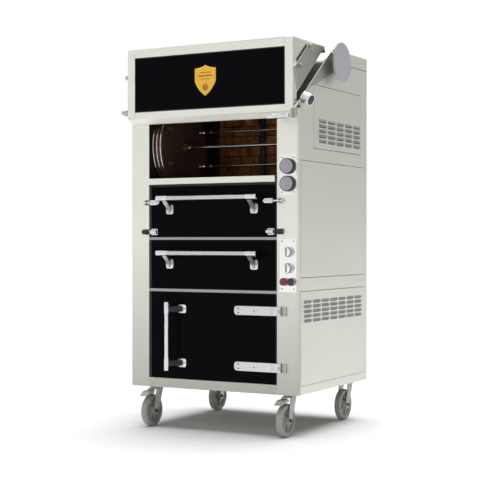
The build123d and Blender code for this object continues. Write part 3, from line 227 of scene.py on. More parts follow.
def turn(bm, angle, axis, centre):
    """Turns a shape about a line through a point, in degrees."""
    bmesh.ops.rotate(bm, cent=centre, matrix=Matrix.Rotation(math.radians(angle), 3, axis), verts=bm.verts)
    return bm


def screws(places, direction, finish, radius=None, rise=2.2):
    """Button-head screws with a hexagon socket, at several places, each with the finish."""
    radius = radius or sizes()["screw_radius"]
    profile = (
        (0.0, rise * 0.45), (radius * 0.42, rise * 0.45), (radius * 0.5, rise * 0.95),
        (radius * 0.78, rise * 0.8), (radius, rise * 0.25), (radius, 0),
    )
    return [(turned(profile, place, direction, steps=12), finish) for place in places]


def is_sheet(face):
    """Whether a face is a wide flat one, which no curve runs through."""
    area = face.calc_area()
    if area < SHEET_AREA or area / max(edge.calc_length() for edge in face.edges) < SHEET_WIDTH:
        return False
    for edge in face.edges:
        for other in edge.link_faces:
            if other is face or other.calc_area() < area * NEIGHBOUR_SHARE:
                continue
            if CURVE_LEAST < math.degrees(edge.calc_face_angle(0.0)) < CURVE_MOST:
                return False
    return True


def piece(name, body, parts, replaces=()):
    """One finished object, riding on a body, out of shapes with their finishes.

    A finish is the name of a material, or a function that gives one for the middle of a face.
    """
    bm = bmesh.new()
    names = []
    for part, finish in parts:
        for face in part.faces:
            material = finish(face.calc_center_median()) if callable(finish) else finish
            if material not in names:
                names.append(material)
            face.material_index = names.index(material)
        held = bpy.data.meshes.new("held")
        part.to_mesh(held)
        part.free()
        bm.from_mesh(held)
        bpy.data.meshes.remove(held)
    sheets = [is_sheet(face) for face in bm.faces]
    bmesh.ops.transform(bm, matrix=TO_FRAME, verts=bm.verts)
    mesh = bpy.data.meshes.new(name)
    bm.to_mesh(mesh)
    bm.free()
    for material in names:
        mesh.materials.append(bpy.data.materials[material])
    # The creases come first, because marking them makes every face smooth.
    mesh.set_sharp_from_angle(angle=math.radians(CREASE_ANGLE))
    for polygon, flat in zip(mesh.polygons, sheets):
        if flat:
            polygon.use_smooth = False
    thing = bpy.data.objects.new(name, mesh)
    bpy.context.scene.collection.objects.link(thing)
    even = thing.modifiers.new("Even shading", "WEIGHTED_NORMAL")
    even.keep_sharp = True
    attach(thing, body)
    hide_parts(*replaces)
    return thing


def eased(name, body, node, finish, edge=0.0, angle=EDGE_ANGLE):
    """A piece with the shape of one frame node, its sharp edges rounded."""
    return piece(name, body, [(copy_of(node, edge, angle), finish)], [node])


def dress(node, material):
    """Keeps a frame node as it is and gives it a finish."""
    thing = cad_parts[node]
    thing.data.materials.clear()
    thing.data.materials.append(bpy.data.materials[material])


# ---------------------------------------------------------------- finishes

STEEL = "Brushed stainless sheet"
BAR = "Cross-brushed stainless bar"
SATIN = "Satin stainless sheet"
POLISHED = "Polished stainless plate"
SHADED_RAIL = "Stainless rail with painted shade"
SATIN_BAR = "Satin steel bar"
STRAP = "Polished hinge strap"
LIT_UNDERSIDE = "Stainless underside with painted light"
TUBE = "Satin handle tube"
ENAMEL = "Gloss black enamel"
GLASS = "Black safety glass"
CHROME = "Polished chrome"
SOOT = "Heat-darkened steel"
BROWNED_STEEL = "Fire-browned stainless"
HAZED = "Heat-hazed steel bar"
BRICK = "Fired clay brick"
MORTAR = "Smoked mortar"
GOLD = "Gold anodised aluminium"
BROWNED = "Browned gold engraving"
POWDER = "Grey powder-coated steel"
DIAL = "Grey moulded thermoplastic"
BLACK_PLASTIC = "Black moulded thermoplastic"
RED = "Red moulded ABS"
DARK_RED = "Dark red moulded ABS"
ZINC = "Zinc-plated steel"
POLYAMIDE = "Grey moulded polyamide"
BLACK_STEEL_AND_SHADE = "Blackened steel and painted shade"

# Noise values between which a finish goes from its first roughness to its second.
NOISE_LOW, NOISE_HIGH = 0.3, 0.7
# Noise values between which a speckled finish goes from its first colour to its second.
GRAIN_LOW, GRAIN_HIGH = 0.12, 0.42
# Heights in metres between which the front sheet goes from its foot, darkened with painted shade, to its full
# colour.
SHADE_FOOT_LOW, SHADE_FOOT_HIGH = 0.12, 0.95


def add(material, kind, inputs=None, **settings):
    """Adds a node with its settings, its values and its links."""
    node = material.node_tree.nodes.new(kind)
    for name, value in settings.items():
        setattr(node, name, value)
    for name, value in (inputs or {}).items():
        if isinstance(value, bpy.types.NodeSocket):
            material.node_tree.links.new(value, node.inputs[name])
        else:
            node.inputs[name].default_value = value
    return node


def finish_with(name, values):
    """A new material: its shader takes the values, and its links are made by the caller."""
    material = bpy.data.materials.new(name)
    material.use_nodes = True
    shader = material.node_tree.nodes["Principled BSDF"]
    for socket, value in values.items():
        shader.inputs[socket].default_value = value
    return material, shader, add(material, "ShaderNodeTexCoord").outputs["Object"]


def shade(colour, factor):
    return (*[channel * factor for channel in colour[:3]], 1.0)


def colour_of(value, first=None):
    """A colour out of a hex value, a share of a first colour, or a colour as it stands."""
    if isinstance(value, str):
        return linear(value)
    return shade(first, value) if isinstance(value, float) else value


def coat(material, shader, tone, worn, roughness, relief, strength, depth):
    """Ends a finish: its colour, its roughness over one pattern and its relief, in metres, from another."""
    gloss = add(
        material, "ShaderNodeMapRange",
        {
            "Value": worn, "From Min": NOISE_LOW, "From Max": NOISE_HIGH,
            "To Min": roughness[0], "To Max": roughness[1],
        },
    )
    bump = add(material, "ShaderNodeBump", {"Height": relief, "Strength": strength, "Distance": depth})
    for source, socket in (
        (tone.outputs["Result"], "Base Color"),
        (gloss.outputs["Result"], "Roughness"),
        (bump.outputs["Normal"], "Normal"),
    ):
        material.node_tree.links.new(source, shader.inputs[socket])


def brushed(name, colour, grain, contrast, roughness, wear=0.9, foot=None):
    """Sheet stainless: long grain lines, a slow cloudiness from handling and, if asked, a foot darkened with
    painted shade.
    """
    colour = colour_of(colour)
    material, shader, place = finish_with(name, {"Metallic": 1.0})
    lines = add(material, "ShaderNodeMapping", {"Vector": place, "Scale": grain})
    hair = add(
        material, "ShaderNodeTexNoise",
        {"Vector": lines.outputs[0], "Scale": 1.0, "Detail": 5.0, "Roughness": 0.65},
    )
    cloud = add(
        material, "ShaderNodeTexNoise", {"Vector": place, "Scale": 3.2, "Detail": 3.0, "Roughness": 0.55}
    )
    tone = add(
        material, "ShaderNodeMix", {"Factor": cloud.outputs["Fac"], "A": colour, "B": shade(colour, wear)},
        data_type="RGBA", label="handling",
    )
    streak = add(
        material, "ShaderNodeMix",
        {"Factor": hair.outputs["Fac"], "A": tone.outputs["Result"], "B": shade(colour, 1.0 - contrast)},
        data_type="RGBA", label="grain",
    )
    # The foot is painted shade: the colour darkens towards the floor below the given heights.
    if foot:
        height = add(material, "ShaderNodeSeparateXYZ", {"Vector": place})
        rise = add(
            material, "ShaderNodeMapRange",
            {"Value": height.outputs["Z"], "From Min": SHADE_FOOT_LOW, "From Max": SHADE_FOOT_HIGH},
        )
        streak = add(
            material, "ShaderNodeMix",
            {"Factor": rise.outputs["Result"], "A": shade(colour, foot), "B": streak.outputs["Result"]},
            data_type="RGBA", label="painted shade towards the floor",
        )
    coat(material, shader, streak, hair.outputs["Fac"], roughness, hair.outputs["Fac"], 0.12, 0.0002)


def speckled(name, values, colour, other, scale, depth, roughness, strength=0.4):
    """Cast, moulded, fired or painted surface: two close colours in grains of one size."""
    colour = colour_of(colour)
    material, shader, place = finish_with(name, values)
    grain = add(
        material, "ShaderNodeTexNoise", {"Vector": place, "Scale": scale, "Detail": 6.0, "Roughness": 0.6}
    )
    patch = add(material, "ShaderNodeTexNoise", {"Vector": place, "Scale": scale / 22, "Detail": 3.0})
    both = add(
        material, "ShaderNodeMath", {0: grain.outputs["Fac"], 1: patch.outputs["Fac"]}, operation="MULTIPLY"
    )
    spread = add(
        material, "ShaderNodeMapRange",
        {"Value": both.outputs[0], "From Min": GRAIN_LOW, "From Max": GRAIN_HIGH},
    )
    tone = add(
        material, "ShaderNodeMix",
        {"Factor": spread.outputs["Result"], "A": colour, "B": colour_of(other, colour)}, data_type="RGBA",
    )
    coat(material, shader, tone, patch.outputs["Fac"], roughness, grain.outputs["Fac"], strength, depth)


class OVEN_OT_finishes(bpy.types.Operator):
    """Makes every material from the chosen colours"""

    bl_idname = "oven.finishes"
    bl_label = "Finishes"

    def execute(self, context):
        tint = context.scene.oven_colours
        # Scales are counts to the metre, so 420 draws lines 2.4 mm apart. The real grain of brushed steel,
        # about 0.2 mm, is too fine to show and is drawn this coarse.
        # Brushed stainless sheet, its grain upright: soft vertical streaks, darkened near the floor with
        # painted shade.
        brushed(STEEL, tint.steel, (420, 420, 9), 0.10, (0.30, 0.44), foot=0.50)
        # The same sheet brushed sideways on the header, the sill and the base: level streaks, with the same
        # painted shade near the floor.
        brushed(BAR, tint.steel, (9, 420, 420), 0.12, (0.26, 0.40), foot=0.42)
        # Satin stainless, rolled and only lightly brushed: an even grey sheen with slow clouds.
        brushed(SATIN, tint.side, (300, 300, 16), 0.06, (0.34, 0.46), wear=0.92)
        # Polished stainless of the control plates: whiter and smoother than the frame round them.
        brushed(POLISHED, "#F4F4F1", (30, 500, 500), 0.05, (0.18, 0.26), wear=0.97)
        # Stainless of the narrow rails between the doors and of the louvres: the same steel greyed with
        # painted shade for their recesses.
        brushed(SHADED_RAIL, "#A2A29F", (9, 420, 420), 0.12, (0.34, 0.46))
        # Satin bar stock of the braces and the lift arms: a darker, coarser brush along the bar.
        brushed(SATIN_BAR, "#B2B2A9", (420, 60, 60), 0.16, (0.30, 0.42))
        # Polished strap of the cupboard hinges, cooler than the sheet round it.
        brushed(STRAP, "#D2D2D5", (12, 420, 420), 0.10, (0.20, 0.32))
        # Underside of the hood: the same sheet made matt and whiter than the front, painted light for the
        # glow of the floor on it.
        speckled(LIT_UNDERSIDE, {"Metallic": 0.3}, "#F4F3E8", "#E6E5DA", 200, 0.00003, (0.5, 0.6), 0.1)
        # Satin tube of the handles, a shade darker than its bright sleeves.
        brushed(TUBE, "#C4C4C7", (60, 500, 500), 0.10, (0.24, 0.34))
        # Gloss enamel fired on steel: near black, with the faint orange peel of a sprayed coat.
        speckled(ENAMEL, {"Specular IOR Level": 0.02}, tint.enamel, 1.5, 420, 0.00006, (0.16, 0.24), 0.1)
        # Black-printed safety glass of the hood: deeper and smoother than the enamel.
        speckled(GLASS, {"Specular IOR Level": 0.03}, "#06060A", "#08080D", 60, 0.00002, (0.05, 0.08), 0.04)
        # Chromed or polished bar: bright, with hairline wear that breaks up its highlights.
        speckled(CHROME, {"Metallic": 1.0}, tint.chrome, 0.86, 900, 0.00003, (0.10, 0.20), 0.08)
        # Stainless lining after heat and fat: brown-black soot in patches over a dull metal.
        speckled(SOOT, {"Metallic": 0.6}, tint.soot, "#15110D", 160, 0.0002, (0.42, 0.62), 0.25)
        # Stainless discs browned by the fire: warm, dull and smeared with fat.
        speckled(BROWNED_STEEL, {"Metallic": 0.45}, "#6A5243", "#3A2B22", 120, 0.0002, (0.38, 0.55), 0.2)
        # Spits and shaft: polished once, now hazed by heat.
        speckled(HAZED, {"Metallic": 1.0}, "#A3A49F", "#7E7F7A", 300, 0.00004, (0.16, 0.3), 0.1)
        # Fired clay brick with 2 mm grit, brown with scorched patches.
        speckled(BRICK, {"Specular IOR Level": 0.25}, tint.brick, "#4A2210", 480, 0.0009, (0.8, 0.95), 0.6)
        # Lime and fireclay mortar, sanded and smoked dark.
        speckled(MORTAR, {"Specular IOR Level": 0.2}, "#241A12", "#140D08", 900, 0.0006, (0.9, 0.98))
        # Gold-anodised aluminium, satin, with the fine etch of the anodising bath.
        speckled(GOLD, {"Metallic": 0.85}, tint.gold, 0.86, 700, 0.00004, (0.30, 0.42), 0.12)
        # The raised bars and flame of the badge: the same gold, chemically browned.
        speckled(BROWNED, {"Metallic": 0.5}, "#B57F2C", "#96651F", 700, 0.00008, (0.45, 0.55))
        # Powder-coated steel: flat grey with a fine pebble.
        speckled(POWDER, {}, tint.disc, 0.92, 520, 0.00012, (0.48, 0.58), 0.3)
        # Moulded thermoplastic of the dial faces: matt grey, with spark-eroded mould grain.
        speckled(DIAL, {}, tint.dial, 0.93, 900, 0.0001, (0.5, 0.6), 0.3)
        # The same plastic in black, on the dials' skirts and the seals of the glass and the roof.
        plastic = {"Specular IOR Level": 0.3}
        speckled(BLACK_PLASTIC, plastic, "#1D1D20", "#2A2A2E", 900, 0.0001, (0.38, 0.5), 0.3)
        # Glossy moulded ABS of the buttons: the start button bright, the stop button dark.
        for name, colour, other in ((RED, tint.red, 0.86), (DARK_RED, "#3E0C18", "#320812")):
            speckled(name, {"Coat Weight": 0.3}, colour, other, 300, 0.00003, (0.26, 0.34), 0.1)
        # Zinc-plated pressed steel: dull grey with a cloudy crystal tone.
        speckled(ZINC, {"Metallic": 0.75}, tint.caster, 0.72, 240, 0.00008, (0.32, 0.5), 0.2)
        # Grey polyamide wheel and its slightly dusty tread.
        wheel, tread = shade(tint.caster, 0.95), shade(tint.caster, 0.72)
        speckled(POLYAMIDE, {}, wheel, tread, 420, 0.0002, (0.5, 0.66), 0.35)
        # Blackened steel of fasteners and pivots: near black, with a dull sheen on its edges. The same near
        # black is painted shade on the door jambs, in the louvre mouths, along the braces and on the cupboard
        # handle's arms.
        speckled(BLACK_STEEL_AND_SHADE, {"Metallic": 0.5}, "#34343A", "#202024", 300, 0.0001, (0.36, 0.5), 0.2)
        return {"FINISHED"}


# ---------------------------------------------------------------- cabinet

ROOF_HEIGHT = 1900


class OVEN_OT_cabinet(bpy.types.Operator):
    """Front frame, base, back, roof and left side, in folded sheet with their screws"""

    bl_idname = "oven.cabinet"
    bl_label = "Cabinet"

    def execute(self, context):
        edge = sizes()["sheet_edge"]
        drawer_low, drawer_high = span("drawer_front")
        rail_height = 20

        # The rails beside the drawer take the steel darkened with painted shade, for the shade of their
        # recess between the doors.
        def rail_finish(middle):
            return SHADED_RAIL if drawer_low.z - rail_height < middle.z < drawer_high.z + rail_height else BAR

        for node, finish in (("front_stiles", STEEL), ("front_rails", rail_finish), ("base_pan", BAR)):
            eased(f"{node}_sheet", "root", node, finish, edge)
        low, high = span("left_side_panel")
        inset = 16
        rows = (low.z + 40, 470, 730, 1020, 1325)
        places = [(low.x, y, z) for z in rows for y in (low.y + inset, high.y - inset)]
        places.append((low.x, high.y - inset, low.z + 1480))
        wall = [(copy_of("left_side_panel"), SATIN), *screws(places, LEFT, CHROME)]
        piece("left_side_sheet", "root", wall, ["left_side_panel"])
        low, high = span("back_panel")
        columns = (low.x + 22, -156, 156, high.x - 22)
        rows = (low.z + 24, 626, 1046, 1466, high.z - 24)
        places = [(x, high.y, z) for x in columns for z in rows]
        back = [(copy_of("back_panel", edge), SATIN), *screws(places, BACK, CHROME)]
        piece("back_sheet", "root", back, ["back_panel"])
        places = [(x, 812, ROOF_HEIGHT) for x in (-440, -147, 147, 440)]
        roof = [(copy_of("roof_panel", edge), SATIN), *screws(places, UP, CHROME)]
        side_high = span("right_side_frame")[1]
        seal_front, half_width, half_height = 405, 0.5, 1.6
        for face in (-side_high.x, side_high.x):
            seal_low = (face - half_width, seal_front, side_high.z - half_height)
            seal_high = (face + half_width, side_high.y, side_high.z + half_height)
            roof.append((block(seal_low, seal_high, 0.2, 1), BLACK_PLASTIC))
        piece("roof_sheet", "root", roof, ["roof_panel"])
        return {"FINISHED"}


# The louvre fields of the right side: from and to in depth and height, then columns and rows.
LOUVRE_FIELDS = (((225, 747), (1415, 1539), 5, 5), ((57, 760), (544, 658), 7, 5))
# The screws of each access panel: depths of its columns and heights of its rows.
PANEL_SCREWS = (((46, 778), (262, 686)), ((46, 778), (776, 1311)), ((193, 739), (1402, 1686)))


def louvre_hood(y, z, x, width, height, rise, wall):
    """A pressed hood that leans back to the sheet at its top, open along its lower edge."""
    bm = bmesh.new()
    slope, narrowing = rise * 0.9, 0.86
    place = Matrix.Translation((x + rise / 2, y, z)) @ Matrix.Diagonal((rise, width, height, 1.0))
    bmesh.ops.create_cube(bm, size=1.0, matrix=place)
    outer_top = [v for v in bm.verts if v.co.x > x + slope and v.co.z > z]
    bmesh.ops.translate(bm, vec=(-slope, 0, height * 0.1), verts=outer_top)
    for vert in bm.verts:
        if vert.co.x > x + slope:
            vert.co.y = y + (vert.co.y - y) * narrowing
    open_faces = [f for f in bm.faces if f.normal.z < -0.9 or f.normal.x < -0.9]
    bmesh.ops.delete(bm, geom=open_faces, context="FACES_ONLY")
    bmesh.ops.solidify(bm, geom=bm.faces[:], thickness=wall)
    return bm


def grid(low, high, count):
    """Evenly spaced centres that fill a length."""
    step = (high - low) / count
    return [low + step * (i + 0.5) for i in range(count)]


class OVEN_OT_right_side(bpy.types.Operator):
    """Right side: the frame sheet and three access panels with pressed louvres"""

    bl_idname = "oven.right_side"
    bl_label = "Right side"

    def execute(self, context):
        size = sizes()
        eased("right_side_sheet", "root", "right_side_frame", SATIN, size["sheet_edge"])
        face = span("right_access_panels")[1].x
        parts = [(copy_of("right_access_panels"), SATIN)]
        for depths, heights, columns, rows in LOUVRE_FIELDS:
            pitch_y = (depths[1] - depths[0]) / columns
            pitch_z = (heights[1] - heights[0]) / rows
            wide, tall, half_mouth_shade = pitch_y * 0.78, pitch_z * 0.46, pitch_y * 0.36
            for y in grid(*depths, columns):
                for z in grid(*heights, rows):
                    hood = louvre_hood(y, z + 2, face, wide, tall, size["hood_rise"], size["hood_wall"])
                    # The hoods take the steel darkened with painted shade, darker than the side round them.
                    parts.append((hood, SHADED_RAIL))
                    # A near-black block inside each hood's mouth is painted shade in the opening.
                    mouth_shade_low = (face - 0.2, y - half_mouth_shade, z - pitch_z * 0.30)
                    mouth_shade_high = (face + 0.5, y + half_mouth_shade, z - pitch_z * 0.02)
                    parts.append((block(mouth_shade_low, mouth_shade_high, 0.1, 1), BLACK_STEEL_AND_SHADE))
        places = [(face, y, z) for columns, rows in PANEL_SCREWS for z in rows for y in columns]
        parts += screws(places, RIGHT, SATIN, 3.5, 1.4)
        piece("louvred_panels", "root", parts, ["right_access_panels"])
        return {"FINISHED"}


# ---------------------------------------------------------------- chamber and rotor


class OVEN_OT_chamber(bpy.types.Operator):
    """Lined chamber with coursed firebricks, posts, burner and drive"""

    bl_idname = "oven.chamber"
    bl_label = "Chamber"

    def execute(self, context):
        low, high = span("firebrick_wall")
        lining_edge = high.x + 3

        # The lining's trim beyond the brick wall takes the steel darkened with painted shade, a mid grey for
        # the shade of the gap beside the hood.
        def lining_finish(middle):
            return SHADED_RAIL if abs(middle.x) > lining_edge else SOOT

        eased("chamber_lining", "root", "chamber_liner", lining_finish, 0.5)
        front = low.y + 20
        parts = [(block((low.x, front + 3, low.z), (high.x, high.y, high.z)), MORTAR)]
        parts += self.bricks(low, high, front)
        half = 15
        for x, finish in ((-84, BLACK_STEEL_AND_SHADE), (84, BLACK_STEEL_AND_SHADE), (low.x + half, SOOT), (high.x - half, SOOT)):
            parts.append((block((x - half, low.y, low.z), (x + half, front, high.z), 2.0), finish))
        piece("firebrick_courses", "root", parts, ["firebrick_wall"])
        low, high = span("burner_pipe")
        parts = [(copy_of("burner_pipe", 0.8), SOOT)]
        jet = ((2.2, 0.0), (4.4, 0.0), (4.0, 1.6), (2.2, 1.6))
        for x in grid(low.x + 30, high.x - 30, 22):
            ring = turned(jet, (x, (low.y + high.y) / 2, high.z - 0.4), UP, steps=10, closed=True)
            parts.append((ring, BLACK_STEEL_AND_SHADE))
        piece("burner_tube", "root", parts, ["burner_pipe"])
        eased("rotor_motor", "root", "rotor_drive", ZINC, 1.0)
        # The jambs are near black: painted shade for their recess behind the stiles.
        dress("inner_frame", BLACK_STEEL_AND_SHADE)
        dress("oven_liner", SOOT)
        dress("lower_partitions", STEEL)
        eased("oven_rack_wires", "root", "oven_rack", CHROME)
        return {"FINISHED"}

    def bricks(self, low, high, front):
        """Courses of bricks in half bond, each standing proud of the front by a little of its own."""
        size = sizes()
        draw = random.Random(7)
        gap, length = size["brick_gap"] / 2, size["brick_length"]
        most_proud, depth, shortest = 1.6, 14, 10
        courses = round((high.z - low.z) / size["brick_height"])
        rise = (high.z - low.z) / courses
        parts = []
        for course in range(courses):
            z = low.z + course * rise
            x = low.x - (length / 2 if course % 2 else 0)
            while x < high.x:
                left, right = max(x + gap, low.x), min(x + length - gap, high.x)
                if right - left > shortest:
                    proud = front + draw.uniform(0.0, most_proud)
                    brick = block((left, proud, z + gap), (right, front + depth, z + rise - gap), 1.8, 1)
                    parts.append((brick, BRICK))
                x += length
        return parts


def spit_cup(x, inward, y, z):
    """A turned socket at the end of a spit, with its collar."""
    profile = (
        (0, 0), (9, 0), (12.5, 2), (13, 6), (11, 9), (13, 12), (13, 22), (10, 27), (8, 31), (6, 34), (0, 34),
    )
    return turned(profile, (x, y, z), (inward, 0, 0), steps=32)


class OVEN_OT_rotor(bpy.types.Operator):
    """Turning end plates with ribbed rims, the shaft and the two spits"""

    bl_idname = "oven.rotor"
    bl_label = "Rotor"

    def execute(self, context):
        low, high, centre, radius = round_span("spit_plates")
        parts = [(copy_of("spit_plates", 0.5, BAR_ANGLE), BROWNED_STEEL)]
        rib = (
            (radius - 1, -3.4), (radius + 2, -2), (radius + 3.2, 0), (radius + 2, 2), (radius - 1, 3.4),
        )
        for side in (-1, 1):
            for inset in (6.0, 28.0, 50.0):
                place = (side * (high.x - inset), centre.y, centre.z)
                parts.append((turned(rib, place, RIGHT, 96, closed=True), CHROME))
        piece("spit_plates_turned", "rotor", parts, ["spit_plates"])
        low, high, centre, radius = round_span("rotor_shaft")
        y, z = centre.yz
        parts = [(rod((low.x, y, z), (high.x, y, z), radius, 1.2), HAZED)]
        for x in (-300, 300):
            parts.append((collar((x, y, z), radius - 0.5, 16.0, 9.0, 1.5), CHROME))
        piece("rotor_shaft_turned", "rotor", parts, ["rotor_shaft"])
        for node in ("upper_spit", "lower_spit"):
            low, high, centre, _ = round_span(node)
            y, z = centre.yz
            parts = [(rod((low.x + 30, y, z), (high.x - 30, y, z), 6.0, 0.6, 24), HAZED)]
            parts += [(spit_cup(low.x, 1, y, z), CHROME), (spit_cup(high.x, -1, y, z), CHROME)]
            for x in (-262.0, 262.0):
                parts.append((collar((x, y, z), 5.0, 10.0, 7.0, 2.0, 24), CHROME))
            piece(f"{node}_bar", node, parts, [node])
        return {"FINISHED"}


# ---------------------------------------------------------------- doors

# Radius of a handle's tube, radius and length of its sleeves, and half the width of a bracket's arm.
TUBE_RADIUS, SLEEVE_RADIUS, SLEEVE_LENGTH, HALF_ARM = 11.0, 13.0, 60.0, 13
# Width and height of a bracket's plate, its thickness and how far its middle lies below the tube.
PLATE_WIDE, PLATE_TALL, PLATE_THICK, PLATE_DROP = 42.0, 48.0, 4.0, 54.0
# How far the middle of a tube lies inside the outer faces of its frame node.
TUBE_INSET = 15


def rounded_plate(centre, wide, tall, thick, corner):
    """An upright plate facing the front, with rounded corners and eased edges."""
    x, y, z = centre
    bm = block((x - wide / 2, y, z - tall / 2), (x + wide / 2, y + thick, z + tall / 2))
    upright = [e for e in bm.edges if abs((e.verts[0].co - e.verts[1].co).y) > thick / 2]
    bmesh.ops.bevel(
        bm, geom=upright, offset=corner, offset_type="OFFSET", segments=6, profile=0.5, affect="EDGES",
        material=-1, clamp_overlap=False,
    )
    return soften(bm, 0.8, angle=BAR_ANGLE)


def handle_shapes(centre, length, spread, stand, arm_finish):
    """A level tube with sleeved ends, its middle at a point, on two bent brackets."""
    x, y, z = centre
    tube, sleeve, reach = TUBE_RADIUS, SLEEVE_RADIUS, SLEEVE_LENGTH
    half = length / 2
    bar = (
        (0, 0), (sleeve - 3, 0), (sleeve - 0.6, 1.2), (sleeve, 3.5), (sleeve, reach - 3),
        (sleeve - 1, reach - 1), (tube, reach), (tube, length - reach), (sleeve - 1, length - reach + 1),
        (sleeve, length - reach + 3), (sleeve, length - 3.5), (sleeve - 0.6, length - 1.2),
        (sleeve - 3, length), (0, length),
    )

    def bar_finish(middle):
        return TUBE if abs(middle.x - x) < half - reach else CHROME

    parts = [(turned(bar, (x - half, y, z), RIGHT, 32), bar_finish)]
    face, plate_z = y + stand - PLATE_THICK, z - PLATE_DROP
    low, high = plate_z - PLATE_TALL / 2, plate_z + PLATE_TALL / 2
    for side in (-1, 1):
        middle = x + side * spread / 2
        left = middle - HALF_ARM
        bracket = rounded_plate((middle, face, plate_z), PLATE_WIDE, PLATE_TALL, PLATE_THICK, 10.0)
        parts.append((bracket, CHROME))
        arm = [
            (left, face, high - 30), (left, face, high - 2), (left, y + 5, z - 4), (left, y - 5, z - 9),
            (left, y + 2, z - 13),
        ]
        parts.append((plate(arm, (2 * HALF_ARM, 0, 0), 1.0), arm_finish))
        if spread / 2 + HALF_ARM < half - reach:
            parts.append((collar((middle, y, z), tube - 0.5, tube + 4.0, HALF_ARM, 1.5), CHROME))
        parts += screws([(middle, face, low + 12)], FRONT, BLACK_STEEL_AND_SHADE, 4.2, 1.8)
    return parts


class OVEN_OT_doors(bpy.types.Operator):
    """Oven door, drawer and cupboard door with their tube handles, hinges and latches"""

    bl_idname = "oven.doors"
    bl_label = "Doors"

    def execute(self, context):
        for node, body in (
            ("oven_door_panel", "oven_door"),
            ("drawer_front", "drawer"),
            ("cupboard_door_panel", "cupboard_door"),
        ):
            eased(f"{node}_sheet", body, node, ENAMEL, 0.8)
        dress("drawer_tray", STEEL)
        self.handles()
        self.hinges()
        self.latches()
        return {"FINISHED"}

    def handles(self):
        """Two level handles, and the cupboard's, which is made level and stood upright."""
        for node, body in (("oven_door_handle", "oven_door"), ("drawer_handle", "drawer")):
            low, high = span(node)
            centre = ((low.x + high.x) / 2, low.y + TUBE_INSET, high.z - TUBE_INSET)
            parts = handle_shapes(centre, high.x - low.x, 477.0, high.y - low.y - TUBE_INSET, TUBE)
            piece(f"{node}_tube", body, parts, [node])
        low, high = span("cupboard_handle")
        centre = (low.x + TUBE_INSET, low.y + TUBE_INSET, (low.z + high.z) / 2)
        # The cupboard handle's arms are near black: painted shade that lets them sink into the black door.
        parts = handle_shapes((0, 0, 0), high.z - low.z, 268.0, high.y - low.y - TUBE_INSET, BLACK_STEEL_AND_SHADE)
        for shape, _ in parts:
            turn(shape, -90.0, "Y", (0, 0, 0))
            bmesh.ops.translate(shape, vec=centre, verts=shape.verts)
        piece("cupboard_handle_tube", "cupboard_door", parts, ["cupboard_handle"])

    def hinges(self):
        """Strap hinges of the cupboard with their screws, barrels of the oven door and keepers."""
        low, high = span("strap_hinges")
        holes = ((24, 11), (24, -11), (110, 0), (205, 11), (205, -11))
        places = [(low.x + x, -7.2, z + rise) for z in (low.z + 22, high.z - 22) for x, rise in holes]
        parts = [(copy_of("strap_hinges", 1.0, ROUND_ANGLE), STRAP)]
        parts += screws(places, FRONT, BLACK_STEEL_AND_SHADE, 3.6, 1.2)
        piece("strap_hinge_leaves", "cupboard_door", parts, ["strap_hinges"])
        eased("door_barrels", "oven_door", "oven_door_fittings", CHROME, 1.2, ROUND_ANGLE)
        door_foot, reach = span("oven_door_panel")[0].z, 60

        def keeper_finish(middle):
            return BLACK_STEEL_AND_SHADE if abs(middle.z - door_foot) < reach else SATIN_BAR

        eased("stile_keepers", "root", "stile_fittings", keeper_finish, 0.8, ROUND_ANGLE)

    def latches(self):
        """A turned bolt in each latch, its knob outwards."""
        for side, body in ((-1, "left_latch"), (1, "right_latch")):
            node = f"{body}_bolt"
            low, high, centre, radius = round_span(node)
            length = high.x - low.x
            profile = (
                (0, 0), (4, 0), (5.0, 1.5), (5.0, length - 19), (radius - 1, length - 18),
                (radius, length - 16), (radius, length - 4), (radius - 1.5, length - 1), (0, length),
            )
            start = (low.x if side < 0 else high.x, centre.y, centre.z)
            parts = [(turned(profile, start, (-side, 0, 0), 28), CHROME)]
            piece(f"{body}_turned", body, parts, [node])


# ---------------------------------------------------------------- controls


